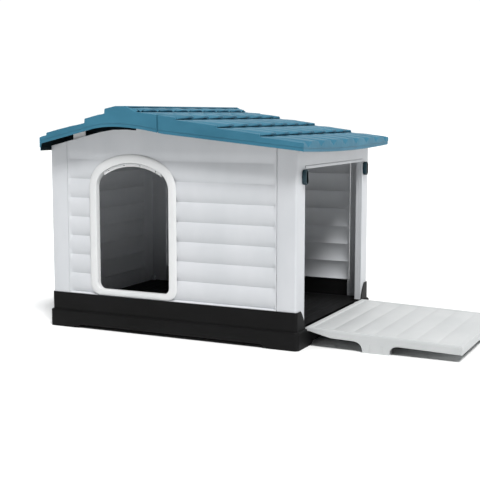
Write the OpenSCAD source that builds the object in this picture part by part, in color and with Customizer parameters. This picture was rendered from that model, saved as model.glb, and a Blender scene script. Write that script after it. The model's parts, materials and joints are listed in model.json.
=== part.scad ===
// Flat-pack plastic pet house with a fold-down side terrace.
// Origin: ground centre of the house. +X towards the terrace, -Y the front with the arched doorway, +Z up.

/* [House] */
// Width of the house over its side walls
house_w = 830; // [700:5:1000]
// Depth of the house from the front wall to the back wall
house_d = 610; // [500:5:740]
// Thickness of the moulded wall sheet
wall_t = 3; // [2.5:0.5:5]
// Width of the plain corner post bands
post_w = 60; // [48:1:75]
// Radius of the posts' outer corners
post_r = 6; // [4:1:8]
// Height of one clapboard
board_pitch = 58.9; // [50:0.1:72]
// Depth of the groove between two clapboards
board_depth = 4; // [2:0.5:6]

/* [Base] */
// Height of the base rim round the walls
rim_h = 109; // [95:1:125]
// Height of the floor's top face above the ground
floor_h = 56; // [52:1:62]
// Thickness of the floor plate
floor_t = 3; // [2.5:0.5:5]
// Thickness of the base's skirt and rims
skirt_t = 3; // [2.5:0.5:4]
// How far the lower tier stands out past the walls
lower_flare = 10; // [8:1:16]
// Width of each corner foot
foot_w = 95; // [75:1:120]
// Height of the raised stretch between the feet
foot_rise = 11; // [6:1:16]
// Radius of the drain hole
drain_r = 14; // [8:0.5:20]

/* [Doorway] */
// Distance from the left wall to the doorway's centre
door_from_left = 294; // [260:1:340]
// Clear width of the doorway
door_w = 253; // [200:1:290]
// Height of the doorway's sill above the ground
door_sill = 128; // [122:1:150]
// Height of the doorway's top above the ground
door_top = 519; // [460:1:530]
// Rise of the doorway's flattened arch
arch_rise = 80; // [76:1:100]
// Radius of the arch's two haunches
haunch_r = 64; // [40:1:70]
// Width of the raised trim round the doorway
trim_w = 26; // [18:1:30]
// Radius of the flap rail's pin holes
flap_hole_r = 2.2; // [1.5:0.1:3]

/* [Roof] */
// Height of the ridge above the ground
ridge_h = 688; // [660:1:760]
// Height of the left eave
left_eave_h = 594; // [580:1:610]
// Height of the right eave
right_eave_h = 587; // [575:1:600]
// Distance from the left wall to the middle of the ridge
ridge_from_left = 290; // [260:1:340]
// Roof overhang past the front wall
front_overhang = 52; // [40:1:80]
// Roof overhang past the back wall
back_overhang = 84; // [40:1:100]
// Roof overhang past the right wall
right_overhang = 41; // [30:1:60]
// Thickness of the roof sheet
roof_t = 3; // [2.5:0.5:5]

/* [Terrace] */
// Height of the side opening's top above the ground
header_h = 511; // [470:1:530]
// Gap between the closed terrace and the opening
panel_gap = 2; // [1.5:0.5:4]
// Slope of the open terrace, down and outward, in degrees
terrace_slope = 1.65; // [0:0.05:3]
// Depth of the terrace's skirt
panel_t = 24; // [20:1:28]
// Radius of the hinge pins
pin_r = 4; // [3:0.25:5]
// Radial clearance of a knuckle or a spindle in its bore
running_gap = 0.05; // [0.02:0.01:0.1]

/* [Latches] */
// Height of the latches above the ground
latch_h = 489; // [440:1:500]
// Length of a latch knob
knob_l = 44; // [40:1:52]
// Width of a latch knob
knob_w = 20; // [16:1:22]
// Thickness of a latch knob
knob_t = 12; // [8:1:16]
// Distance from a latch's pivot to the opening
latch_inset = 14; // [12:1:17]
// Radius of a latch's spindle
spindle_r = 5; // [3:0.25:6]

/* [Hidden] */
$fn = 48;

wall_white = "#D9DBDD";
trim_white = "#ECEEEF";
base_black = "#1B1B1C";
roof_teal = "#4E8DA8";
latch_teal = "#12303A";
steel = "#B8BBBE";

eps = 0.01;                       // overlap that joins two shapes into one solid
seat_gap = 0.3;                   // air between neighbouring mouldings
half_w = house_w / 2;
half_d = house_d / 2;
open_y = half_d - post_w;         // half width of the side opening
panel_x = half_w - post_w;        // half width of the front and back panels
rim_out = seat_gap + skirt_t;     // how far the upper rim stands out past the walls
inner_rim_in = wall_t + seat_gap; // how far the inner rim stands in from the walls' face
shelf_h = floor_h - floor_t;      // top of the lower tier

// An arc's points from angle a to angle b
function arc(cx, cy, r, a, b, n) = [
    for (i = [0:n])
        let (turn = a + (b - a) * i / n)
        [cx + r * cos(turn), cy + r * sin(turn)]
];

// A point of the curve from p to r that bends towards q
function bend(p, q, r, t) = (1 - t) * (1 - t) * p + 2 * t * (1 - t) * q + t * t * r;

// Extrudes an outline drawn in X and Z along Y, from y0 to y1
module along_y(y0, y1) {
    translate([0, y1, 0]) rotate([90, 0, 0]) linear_extrude(y1 - y0) children();
}

// Extrudes an outline drawn in Y and Z along X, from x0 to x1
module along_x(x0, x1) {
    translate([x0, 0, 0]) rotate([90, 0, 90]) linear_extrude(x1 - x0) children();
}

// A copy at the front, and its mirror image at the back
module at_end(back) {
    mirror([0, back ? 1 : 0, 0]) children();
}

// A rectangle centred on the origin, with rounded corners
module rounded_rect(w, d, r) {
    x = w / 2 - r;
    y = d / 2 - r;
    polygon(concat(
        arc(x, y, r, 0, 90, 6), arc(-x, y, r, 90, 180, 6),
        arc(-x, -y, r, 180, 270, 6), arc(x, -y, r, 270, 360, 6)
    ));
}

// ---- roof line ----

roof_left_x = -half_w - seat_gap - roof_t;
roof_right_x = half_w + right_overhang;
ridge_x = ridge_from_left - half_w;
ridge_half = 18;                  // half width of the flat ridge
riser_run = 1.5;                  // how far a tile course's riser leans
left_steps = [[25, 9], [165, 13], [236, 14]]; // each left riser's distance from the eave, and its height
shoulder = [33, 17];              // run and drop of the ridge cap's right shoulder
right_courses = 4;
right_riser = 7;

ridge_l = ridge_x - ridge_half;
ridge_r = ridge_x + ridge_half;
left_run = ridge_l - roof_left_x;
left_scale = left_run / 274;      // keeps the risers' shares of the slope
left_rise = left_steps[0][1] + left_steps[1][1] + left_steps[2][1];
left_pitch = (ridge_h - left_eave_h - left_rise) / left_run;
cap_x = ridge_r + shoulder[0];
cap_h = ridge_h - shoulder[1];
course_run = (roof_right_x - cap_x) / right_courses;
right_pitch = (cap_h - right_eave_h - right_riser * (right_courses - 1)) / (roof_right_x - cap_x);

function left_sum(k) = k < 0 ? 0 : left_steps[k][1] + left_sum(k - 1);

left_line = concat(
    [[roof_left_x, left_eave_h]],
    [for (k = [0:2], high = [0:1])
        let (run = left_steps[k][0] * left_scale + high * riser_run)
        [roof_left_x + run, left_eave_h + left_pitch * run + left_sum(k - 1 + high)]],
    [[ridge_l, ridge_h]]
);
right_line = concat(
    [[ridge_r, ridge_h], [cap_x, cap_h]],
    [for (k = [1:right_courses - 1], low = [0:1])
        [cap_x + k * course_run + low * riser_run,
         cap_h - right_pitch * k * course_run - right_riser * (k - 1 + low)]],
    [[roof_right_x, right_eave_h]]
);
roof_line = concat(left_line, right_line);

// The sheet's under side lies below the top and a little towards the ridge
riser_t = 3;
under_line = concat(
    [for (p = left_line) [p[0] + riser_t, p[1] - roof_t]],
    [for (p = right_line) [p[0] - riser_t, p[1] - roof_t]]
);
function under_h(x) = lookup(x, under_line);

// Lower edge of the front and back fascias: straight, arched under the ridge, straight again
left_fascia = 20;                 // depth of the fascia at the left eave
right_fascia = 23;                // depth of the fascia at the right eave
arch_left = [ridge_x - 110, ridge_h - 70];
arch_top = [ridge_x - 25, ridge_h - 47];
arch_right = [ridge_x + 138, ridge_h - 80];
fascia_edge = concat(
    [[roof_left_x, left_eave_h - left_fascia]],
    [for (i = [0:10]) bend(arch_left, arch_top, arch_right, i / 10)],
    [[roof_right_x, right_eave_h - right_fascia]]
);
left_lip = 41;                    // depth of the lip along the left eave
right_lip_bow = 8;                // how much deeper the right lip is at its middle

// ---- walls under the roof ----

vent_gap = 9;                     // how far the left gable edge lies under the fascia
gable_step = ridge_x + 22;        // where the gable rises to the roof's right slope
course_low = right_line[3];
gable_pitch = right_riser / course_run + right_pitch;
function gable_right(x) = course_low[1] - roof_t - seat_gap - gable_pitch * (x - course_low[0] + riser_t);

gable_left_edge = [for (p = fascia_edge) if (p[0] < gable_step) [max(p[0], -half_w), p[1] - vent_gap]];

module gable_outline() {
    polygon(concat(
        [[half_w, floor_h], [-half_w, floor_h]],
        gable_left_edge,
        [[gable_step, gable_right(gable_step)], [half_w, gable_right(half_w)]]
    ));
}

// ---- clapboards ----

boards = 7;
board_parts = 4;
top_fade = 12;                    // height over which the top board's groove fades out
first_board = rim_h + 4.6;        // foot of the lowest clapboard

// How far the board's face lies behind the wall's outer plane, at height share s of one board
function board_sink(s) = board_depth * pow(abs(s - 0.55) / 0.55, 2.4);

// The face's points as [sink, height]
board_face = concat(
    [[0, floor_h], [0, first_board - 3]],
    [for (k = [0:boards - 1], i = [0:board_parts - 1])
        let (s = i / board_parts)
        [board_sink(s), first_board + (k + s) * board_pitch]],
    [
        [board_sink(0), first_board + boards * board_pitch],
        [0, first_board + boards * board_pitch + top_fade],
        [0, ridge_h]
    ]
);

// The wavy sheet's section in Y and Z, with its outer plane at y = 0 and its inside towards +Y
module board_section() {
    polygon(concat(
        board_face,
        [for (i = [len(board_face) - 1:-1:0]) board_face[i] + [wall_t, 0]]
    ));
}

tongue_in = 6;                    // how far a panel's tongue overlaps its own sheet
tongue_w = 18;
tongue_t = 3;

// The wavy sheet of half length h, with a tongue for each post, standing at y = 0
module board_panel(h) {
    along_x(-h + seat_gap, h - seat_gap) board_section();
    for (side = [0, 1]) mirror([side, 0, 0])
        translate([-h + tongue_in - tongue_w, wall_t, floor_h]) cube([tongue_w, tongue_t, ridge_h]);
}

// ---- doorway ----

door_x = door_from_left - half_w;
spring_h = door_top - arch_rise;
sill_r = 21;

// Crown radius of the three-centred arch that is tangent to both haunches
function crown_r(a, b, r) = (b * b + (a - r) * (a - r) - r * r) / (2 * (b - r));

// The doorway's outline grown by g, with its sill at height z
function doorway(g, z) =
    let (
        a = door_w / 2 + g,
        b = arch_rise + g,
        r = haunch_r + g,
        c = crown_r(a, b, r),
        turn = atan2(c - b, a - r),
        f = sill_r + g / 2
    )
    concat(
        arc(-a + f, z + f, f, 180, 270, 5),
        arc(a - f, z + f, f, 270, 360, 5),
        arc(a - r, spring_h, r, 0, turn, 6),
        arc(0, spring_h + b - c, c, turn, 180 - turn, 12),
        arc(-a + r, spring_h, r, 180 - turn, 180, 6)
    );

module doorway_outline(g = 0, z = door_sill) {
    translate([door_x, 0]) polygon(doorway(g, z));
}

trim_out = 4;                     // how far the trim stands out of the wall
sleeve_t = 4;
sleeve_y = 15;                    // how far the trim's sleeve reaches into the house

// ---- terrace hinge ----

hinge_x = half_w - 9.5;
hinge_z = floor_h - 13.5;
panel_top = 16.5;                 // terrace's walking face above the hinge axis
panel_low = panel_top - panel_t;  // bottom of its skirt
panel_in = 14.5;                  // terrace's inner end, out from the hinge axis
panel_out = header_h - panel_gap - hinge_z;
panel_y = open_y - panel_gap;
thin_t = 11;                      // depth of the skirt beside the hinge
knuckle_r = 7;
knuckle_w = 22;
web_r = knuckle_r - 0.4;          // where the terrace's web starts, inside the knuckle's skin
web_from = 106;                   // angles at which the web leaves a knuckle
web_to = 18;
pin_in = panel_y - knuckle_w + 1;
pin_out = panel_y + 19;
block_r = 10;                     // half height of the base's hinge blocks
block_w = 16;
pocket_x = hinge_x - 21;          // inner end of the pockets that the knuckles turn in
sill_ledge = floor_h - 13;        // top of the low ledge under the terrace's inner end
sill_x = half_w - 11;

// ================= sub-parts =================

foot_out = foot_w - lower_flare;  // where a foot's slope ends, in from the walls

// Cuts the raised stretch between two feet, for a side of half length h
module foot_gap(h) {
    polygon([
        [-h + foot_out, -1], [-h + foot_out, 0], [-h + foot_out + foot_run, foot_rise],
        [h - foot_out - foot_run, foot_rise], [h - foot_out, 0], [h - foot_out, -1]
    ]);
}

rib_t = 2.5;
rib_columns = 3;                  // ribs on each side of the middle one
rib_rows = 2;
screw_in = 10.5;                  // base screws' distance in from the walls' planes
rib_lift = 3;                     // how far the ribs stop above the raised stretches
rib_margin = 61;                  // distance from a wall's plane to the outer rib
pad_r = 30;                       // the foot under the floor's middle
pad_t = 4;
foot_pad = 62;
foot_corner = 15;                 // chamfer of a foot pad's corner
foot_run = 25;                    // length of the slope beside a foot
drain_x = 60;
drain_y = 61;
drain_boss = 4;                   // wall round the drain hole
screw_r = 2;
screw_head_r = 4.5;
screw_boss = 16;                  // height of a post's screw boss
screw_boss_r = 8;

shelf_in = 8;                     // how far the lower tier's top runs in under the walls

module base_skirt() {
    w = house_w + 2 * lower_flare;
    d = house_d + 2 * lower_flare;
    difference() {
        linear_extrude(shelf_h) rounded_rect(w, d, 14);
        translate([0, 0, -1]) linear_extrude(shelf_h - skirt_t + 1)
            rounded_rect(w - 2 * skirt_t, d - 2 * skirt_t, 14 - skirt_t);
        translate([0, 0, -1]) linear_extrude(shelf_h + 2)
            square([house_w - 2 * shelf_in, house_d - 2 * shelf_in], center = true);
    }
}

module base_rims() {
    difference() {
        translate([0, 0, shelf_h - eps]) linear_extrude(rim_h - shelf_h + eps)
            rounded_rect(house_w + 2 * rim_out, house_d + 2 * rim_out, post_r + rim_out);
        translate([0, 0, floor_h]) linear_extrude(rim_h)
            rounded_rect(house_w + 2 * seat_gap, house_d + 2 * seat_gap, post_r + seat_gap);
    }
    reach = panel_x - tongue_in - seat_gap;
    for (side = [-1, 1])
        translate([-reach, side * (half_d - inner_rim_in - skirt_t / 2) - skirt_t / 2, floor_h - eps])
            cube([2 * reach, skirt_t, rim_h - floor_h]);
}

module base_ribs() {
    rib_z = foot_rise + rib_lift;
    step_x = (half_w - rib_margin) / rib_columns;
    step_y = (half_d - rib_margin) / rib_rows;
    reach_x = half_w + lower_flare - 1;
    reach_y = half_d + lower_flare - 1;
    for (k = [-rib_columns:rib_columns])
        translate([k * step_x - rib_t / 2, -reach_y, rib_z])
            cube([rib_t, 2 * reach_y, shelf_h - rib_z + eps]);
    for (k = [-rib_rows:rib_rows])
        translate([-reach_x, k * step_y - rib_t / 2, rib_z])
            cube([2 * reach_x, rib_t, shelf_h - rib_z + eps]);
}

module base_pads() {
    cylinder(h = pad_t, r = pad_r);
    for (turn = [0, 90])
        rotate([0, 0, turn]) translate([-pad_r, -rib_t / 2, pad_t - eps])
            cube([2 * pad_r, rib_t, foot_rise]);
    for (sx = [-1, 1], sy = [-1, 1])
        translate([sx * (half_w + lower_flare - 1), sy * (half_d + lower_flare - 1), 0])
            mirror([sx > 0 ? 1 : 0, 0, 0]) mirror([0, sy > 0 ? 1 : 0, 0]) difference() {
                cube([foot_pad, foot_pad, pad_t]);
                translate([-1, -1, -1]) linear_extrude(pad_t + 2)
                    polygon([[0, 0], [foot_corner + 1, 0], [0, foot_corner + 1]]);
            }
}

// Low ledge and riser that carry the sill of the side opening
module base_sill() {
    translate([sill_x - skirt_t - 1, -open_y, sill_ledge - skirt_t])
        cube([half_w + lower_flare - sill_x + skirt_t + 1, 2 * open_y, skirt_t]);
    translate([sill_x - skirt_t - 1, -open_y, sill_ledge - skirt_t])
        cube([skirt_t + 1, 2 * open_y, floor_h - sill_ledge + skirt_t]);
}

module base_sill_cut() {
    translate([sill_x, -open_y, sill_ledge])
        cube([half_w, 2 * open_y, rim_h]);
    translate([sill_x - 25, -open_y, floor_h])
        cube([half_w, 2 * open_y, rim_h]);
}

// The rim sweeps down from each corner to the sill
module horn_cut() {
    top = open_y + 32;
    along_x(half_w - 8, half_w + lower_flare + 1)
        polygon(concat(
            [[0, floor_h], [0, rim_h + 1], [top, rim_h + 1]],
            [for (i = [0:4]) bend([top, rim_h], [open_y + 8, rim_h - 22], [open_y, floor_h + 2], i / 4)],
            [[open_y, floor_h]]
        ));
}

module base_tub() {
    color(base_black) difference() {
        union() {
            difference() {
                union() {
                    base_skirt();
                    base_rims();
                    base_ribs();
                    translate([-half_w, -half_d, shelf_h]) cube([house_w, house_d, floor_t]);
                    translate([drain_x, drain_y, shelf_h / 2])
                        cylinder(h = shelf_h / 2 + eps, r = drain_r + drain_boss);
                }
                along_y(-house_d, house_d) foot_gap(half_w);
                along_x(-house_w, house_w) foot_gap(half_d);
                base_sill_cut();
            }
            base_pads();
            base_sill();
            for (back = [false, true]) at_end(back)
                translate([hinge_x - block_r, -pin_out, hinge_z - block_r])
                    cube([2 * block_r - 1, block_w, shelf_h - hinge_z + block_r + eps]);
        }
        for (back = [false, true]) at_end(back) {
            horn_cut();
            translate([pocket_x, -open_y, hinge_z - block_r - 2])
                cube([half_w + skirt_t - pocket_x, knuckle_w + 5, rim_h]);
            translate([hinge_x, -pin_out - 1, hinge_z]) rotate([-90, 0, 0]) cylinder(h = 22, r = pin_r);
            for (side = [-1, 1])
                translate([side * (half_w - screw_in), -half_d + screw_in, 0]) {
                    cylinder(h = floor_h + 1, r = screw_r + 0.3);
                    translate([0, 0, pad_t + 1]) cylinder(h = shelf_h - pad_t - 1, r = screw_head_r + 0.5);
                }
        }
        translate([drain_x, drain_y, -1]) cylinder(h = floor_h + 2, r = drain_r + seat_gap);
    }
}

module drain_plug() {
    color(latch_teal) translate([drain_x, drain_y, 0]) {
        translate([0, 0, floor_h]) cylinder(h = 3, r = drain_r + 6);
        translate([0, 0, shelf_h / 2 + 2]) cylinder(h = floor_h - shelf_h / 2 - 2 + eps, r = drain_r);
        translate([0, 0, floor_h + 3 - eps]) difference() {
            rotate([90, 0, 0]) translate([0, 0, -2]) cylinder(h = 4, r = 8);
            translate([-9, -3, -9]) cube([18, 6, 9]);
        }
    }
}

// A front or back panel between the posts, with a tongue behind each post
module gable_wall() {
    intersection() {
        translate([0, -half_d, 0]) board_panel(panel_x);
        along_y(-house_d, 0) gable_outline();
    }
}

module front_wall() {
    color(wall_white) difference() {
        gable_wall();
        along_y(-house_d, 0) doorway_outline(sleeve_t + seat_gap, door_sill - sleeve_t - seat_gap);
    }
}

module back_wall() {
    color(wall_white) at_end(true) gable_wall();
}

module left_wall() {
    top = gable_left_edge[0][1];
    color(wall_white) intersection() {
        rotate([0, 0, -90]) translate([0, -half_w, 0]) board_panel(open_y);
        translate([-house_w, -half_d, floor_h]) cube([house_w, house_d, top - floor_h]);
    }
}

frame_w = 20;                     // how deep the side opening's jambs and lintel reach in

// A corner post at the front left, or, with frame = true, one with a jamb and a latch bore
module post(frame) {
    difference() {
        union() {
            linear_extrude(ridge_h) polygon(concat(
                [[-half_w, -open_y]],
                arc(-half_w + post_r, -half_d + post_r, post_r, 180, 270, 6),
                [
                    [-panel_x, -half_d], [-panel_x, -half_d + wall_t],
                    [-half_w + wall_t, -half_d + wall_t], [-half_w + wall_t, -open_y]
                ]
            ));
            translate([-half_w + screw_in, -half_d + screw_in, 0])
                cylinder(h = floor_h + screw_boss, r = screw_boss_r);
            if (frame)
                translate([-half_w, -open_y - wall_t, 0]) cube([frame_w, wall_t, ridge_h]);
        }
        translate([-house_w, -house_d, -1]) cube([house_w, house_d, floor_h + 1]);
        translate([-half_w + screw_in, -half_d + screw_in, 0])
            cylinder(h = floor_h + screw_boss + 1, r = screw_r);
        if (frame)
            translate([-half_w - 1, -open_y - latch_inset, latch_h]) rotate([0, 90, 0])
                cylinder(h = wall_t + 2, r = spindle_r + running_gap);
    }
}

module post_left(back) {
    color(wall_white) at_end(back) intersection() {
        post(false);
        along_y(-house_d, 0) gable_outline();
    }
}

module post_right(back) {
    color(wall_white) at_end(back) intersection() {
        mirror([1, 0, 0]) post(true);
        along_y(-house_d, 0) gable_outline();
    }
}

module post_front_left() post_left(false);
module post_back_left() post_left(true);
module post_front_right() post_right(false);
module post_back_right() post_right(true);

header_band = [2, 9];             // how far the raised band above the opening stands out, and its height

module side_header() {
    top = gable_right(half_w);
    color(wall_white) {
        translate([half_w - wall_t, -open_y + seat_gap, header_h])
            cube([wall_t, 2 * (open_y - seat_gap), top - header_h]);
        translate([half_w - frame_w, -open_y + seat_gap, header_h])
            cube([frame_w, 2 * (open_y - seat_gap), wall_t]);
        translate([half_w - eps, -open_y + seat_gap, header_h])
            cube([header_band[0], 2 * (open_y - seat_gap), header_band[1]]);
    }
}

module doorway_trim() {
    y = -half_d;
    low = rim_h + 1.5;
    color(trim_white) difference() {
        union() {
            along_y(y - trim_out, y - seat_gap / 2) doorway_outline(trim_w, low);
            along_y(y - trim_out, y + sleeve_y) doorway_outline(sleeve_t, door_sill - sleeve_t);
        }
        along_y(y - trim_out - 1, y + sleeve_y + 1) doorway_outline();
    }
}

rail_t = 10;
rail_half = 100;
rail_y = 8;
flap_holes = [-82, -28, 28, 82];

// Height of the arch's inner face, at x from the doorway's middle
function arch_h(x) =
    let (c = crown_r(door_w / 2, arch_rise, haunch_r), e = abs(x) - door_w / 2 + haunch_r)
    e > 0 && abs(x) > (door_w / 2 - haunch_r) * c / (c - haunch_r)
        ? spring_h + sqrt(haunch_r * haunch_r - e * e)
        : door_top - c + sqrt(c * c - x * x);

rail_line = [for (i = [-10:10]) [i * rail_half / 10, arch_h(i * rail_half / 10)]];

module flap_rail() {
    y = -half_d + 2;
    color(trim_white) difference() {
        along_y(y, y + rail_y) translate([door_x, 0]) polygon(concat(
            [for (p = rail_line) p + [0, -1]],
            [for (i = [len(rail_line) - 1:-1:0]) rail_line[i] + [0, -1 - rail_t]]
        ));
        for (x = flap_holes)
            translate([door_x + x, y - 1, arch_h(x) - 1 - rail_t / 2]) rotate([-90, 0, 0])
                cylinder(h = rail_y + 2, r = flap_hole_r);
    }
}

// The whole roof shell: sheet, fascias and eave lips
module roof_shell() {
    y0 = -half_d - front_overhang;
    y1 = half_d + back_overhang;
    along_y(y0, y1) polygon(concat(roof_line, [for (i = [len(under_line) - 1:-1:0]) under_line[i]]));
    for (y = [y0, y1 - roof_t])
        along_y(y, y + roof_t) polygon(concat(
            roof_line,
            [for (i = [len(fascia_edge) - 1:-1:0]) fascia_edge[i]]
        ));
    translate([roof_left_x, y0, left_eave_h - left_lip]) cube([roof_t, y1 - y0, left_lip - 1]);
    low = right_eave_h - right_fascia;
    mid = (y0 + y1) / 2;
    along_x(roof_right_x - roof_t, roof_right_x) polygon(concat(
        [[y1, right_eave_h - 1], [y0, right_eave_h - 1]],
        [for (i = [0:8]) bend([y0, low], [mid, low - 2 * right_lip_bow], [y1, low], i / 8)]
    ));
}

seam_x = 0;                       // where the two roof halves meet
tongue = 14;                      // overlap of the left half under the right half

module roof_left() {
    color(roof_teal) {
        intersection() {
            roof_shell();
            translate([-house_w, -house_d, 0])
                cube([house_w + seam_x - seat_gap, 2 * house_d, ridge_h + 1]);
        }
        along_y(-half_d - front_overhang + roof_t + 1, half_d + back_overhang - roof_t - 1) polygon([
            [seam_x - tongue, under_h(seam_x - tongue) + eps], [seam_x - seat_gap, under_h(seam_x) + eps],
            [seam_x - seat_gap, under_h(seam_x) - seat_gap],
            [seam_x + tongue, under_h(seam_x + tongue) - seat_gap],
            [seam_x + tongue, under_h(seam_x + tongue) - seat_gap - 3],
            [seam_x - tongue, under_h(seam_x - tongue) - seat_gap - 3]
        ]);
    }
}

module roof_right() {
    color(roof_teal) intersection() {
        roof_shell();
        translate([seam_x + seat_gap, -house_d, 0]) cube([house_w, 2 * house_d, ridge_h + 1]);
    }
}

clip_w = 44;
clip_left = 103;                  // left clips' distance from the left wall
clip_right = 165;                 // right clips' distance from the right wall

// A bracket behind a gable that carries the roof sheet
module roof_clip(x, foot) {
    top = min(under_h(x), under_h(x + clip_w)) - seat_gap / 2;
    y = -half_d + board_depth + wall_t + seat_gap;
    translate([x, y, foot]) cube([clip_w, 3, top - foot]);
    translate([x, y, top - 3]) cube([clip_w, 16, 3]);
}

module roof_clips() {
    left = -half_w + clip_left - clip_w / 2;
    right = half_w - clip_right - clip_w / 2;
    color(trim_white) for (back = [false, true]) at_end(back) {
        roof_clip(left, left_eave_h - 40);
        roof_clip(right, right_eave_h - 40);
    }
}

module base_screws() {
    color(steel) for (sx = [-1, 1], sy = [-1, 1])
        translate([sx * (half_w - screw_in), sy * (half_d - screw_in), 0]) {
            translate([0, 0, shelf_h - 3]) cylinder(h = 3, r = screw_head_r);
            translate([0, 0, shelf_h - eps]) cylinder(h = floor_t + screw_boss - 2, r = screw_r);
        }
}

// ---- terrace, drawn flat about its hinge axis: X outward, Z up ----

border_w = 14;
deck_t = 3;
deck_boards = 7;
board_run = (panel_out - panel_in - 2 * border_w) / deck_boards;
deck_face = concat(
    [for (k = [0:deck_boards - 1], i = [0:board_parts - 1])
        let (s = i / board_parts)
        [panel_in + border_w + (k + s) * board_run, panel_top - 1 - 2.5 * pow(abs(s - 0.5) / 0.5, 2.4)]],
    [[panel_out - border_w, panel_top - 3.5]]
);
panel_side = [
    [panel_in, panel_top], [panel_out, panel_top], [panel_out, panel_low],
    [90, panel_low], [24, panel_top - thin_t], [panel_in, panel_top - thin_t]
];

module terrace_flat() {
    difference() {
        along_y(-panel_y, panel_y) polygon(panel_side);
        // walking face between the raised borders
        along_y(-panel_y + border_w, panel_y - border_w) polygon(concat(
            deck_face, [[panel_out - border_w, panel_top + 1], [panel_in + border_w, panel_top + 1]]
        ));
        // cells between the ribs of the under side
        for (i = [0:4], k = [0:4])
            translate([
                panel_in + deck_t + i * (panel_out - panel_in - deck_t) / 5,
                -panel_y + deck_t + k * (2 * panel_y - deck_t) / 5,
                panel_low - 1
            ])
                cube([
                    (panel_out - panel_in - deck_t) / 5 - deck_t,
                    (2 * panel_y - deck_t) / 5 - deck_t,
                    panel_t + 1 - deck_t - 3.5
                ]);
    }
    for (back = [false, true]) at_end(back)
        translate([0, -panel_y, 0]) difference() {
            along_y(0, knuckle_w) union() {
                circle(r = knuckle_r);
                polygon([
                    web_r * [cos(web_from), sin(web_from)],
                    [panel_in + 1, panel_top], [panel_in + 1, panel_top - thin_t],
                    web_r * [cos(web_to), sin(web_to)]
                ]);
            }
            translate([0, -1, 0]) rotate([-90, 0, 0]) cylinder(h = knuckle_w + 2, r = pin_r + running_gap);
        }
}

module terrace() {
    color(wall_white) translate([hinge_x, 0, hinge_z]) rotate([0, terrace_slope, 0]) terrace_flat();
}

foot_from = 185;                  // near end of a terrace foot, out from the hinge
foot_l = 78;
foot_depth = 26;
gusset = 30;

// Height of the terrace skirt's lower edge above the ground, at distance u out from the hinge
function skirt_h(u) =
    hinge_z + panel_low / cos(terrace_slope)
    - (u - panel_low * sin(terrace_slope)) * tan(terrace_slope);

module terrace_foot(back) {
    a = foot_from;
    b = foot_from + foot_l;
    color(wall_white) at_end(back) translate([hinge_x, 0, 0]) {
        along_y(-panel_y, -panel_y + deck_t) polygon(concat(
            [[a - gusset, skirt_h(a - gusset)]],
            [for (i = [1:5]) bend([a - gusset, skirt_h(a - gusset)], [a, skirt_h(a)], [a, 0], i / 6)],
            [[a, 0], [b, 0]],
            [for (i = [1:5]) bend([b, 0], [b, skirt_h(b)], [b + gusset, skirt_h(b + gusset)], i / 6)],
            [[b + gusset, skirt_h(b + gusset)]]
        ));
        along_y(-panel_y + deck_t - eps, -panel_y + foot_depth)
            polygon([[a, 0], [b, 0], [b, skirt_h(b)], [a, skirt_h(a)]]);
    }
}

module terrace_foot_front() terrace_foot(false);
module terrace_foot_back() terrace_foot(true);

module hinge_pin(back) {
    color(steel) at_end(back) translate([hinge_x, -pin_out, hinge_z]) rotate([-90, 0, 0])
        cylinder(h = pin_out - pin_in, r = pin_r);
}

module hinge_pin_front() hinge_pin(false);
module hinge_pin_back() hinge_pin(true);

knob_x = half_w + 1;              // back of the knobs, clear of the closed terrace
spindle_in = 9.5;                 // how far a spindle reaches in from the wall's face
spindle_hold = 9;                 // length of spindle inside its knob
spindle_head = 3.5;               // how far its inner head stands out past the shank
spindle_head_t = 3;

module at_latch(back) {
    at_end(back) translate([0, -open_y - latch_inset, latch_h]) rotate([0, 90, 0]) children();
}

module latch_knob(back) {
    color(latch_teal) at_latch(back) translate([0, 0, knob_x]) difference() {
        union() {
            linear_extrude(knob_t) union() {
                for (end = [-1, 1]) translate([end * (knob_l - knob_w) / 2, 0]) circle(d = knob_w);
                square([knob_l - knob_w, knob_w], center = true);
            }
            cylinder(h = knob_t - 2, d = knob_w + 2);
        }
        translate([0, 0, -1]) cylinder(h = spindle_hold + 1, r = spindle_r);
    }
}

module latch_spindle(back) {
    color(latch_teal) at_latch(back) {
        translate([0, 0, half_w - spindle_in])
            cylinder(h = knob_x + spindle_hold - half_w + spindle_in, r = spindle_r);
        translate([0, 0, half_w - spindle_in])
            cylinder(h = spindle_head_t, r = spindle_r + spindle_head);
    }
}

module latch_knob_front() latch_knob(false);
module latch_knob_back() latch_knob(true);
module latch_spindle_front() latch_spindle(false);
module latch_spindle_back() latch_spindle(true);

base_tub();
drain_plug();
front_wall();
back_wall();
left_wall();
post_front_left();
post_back_left();
post_front_right();
post_back_right();
side_header();
doorway_trim();
flap_rail();
roof_left();
roof_right();
roof_clips();
base_screws();
terrace();
terrace_foot_front();
terrace_foot_back();
hinge_pin_front();
hinge_pin_back();
latch_knob_front();
latch_knob_back();
latch_spindle_front();
latch_spindle_back();
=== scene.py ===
import json
import math

import bmesh
import bpy
from mathutils import Matrix, Vector


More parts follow.
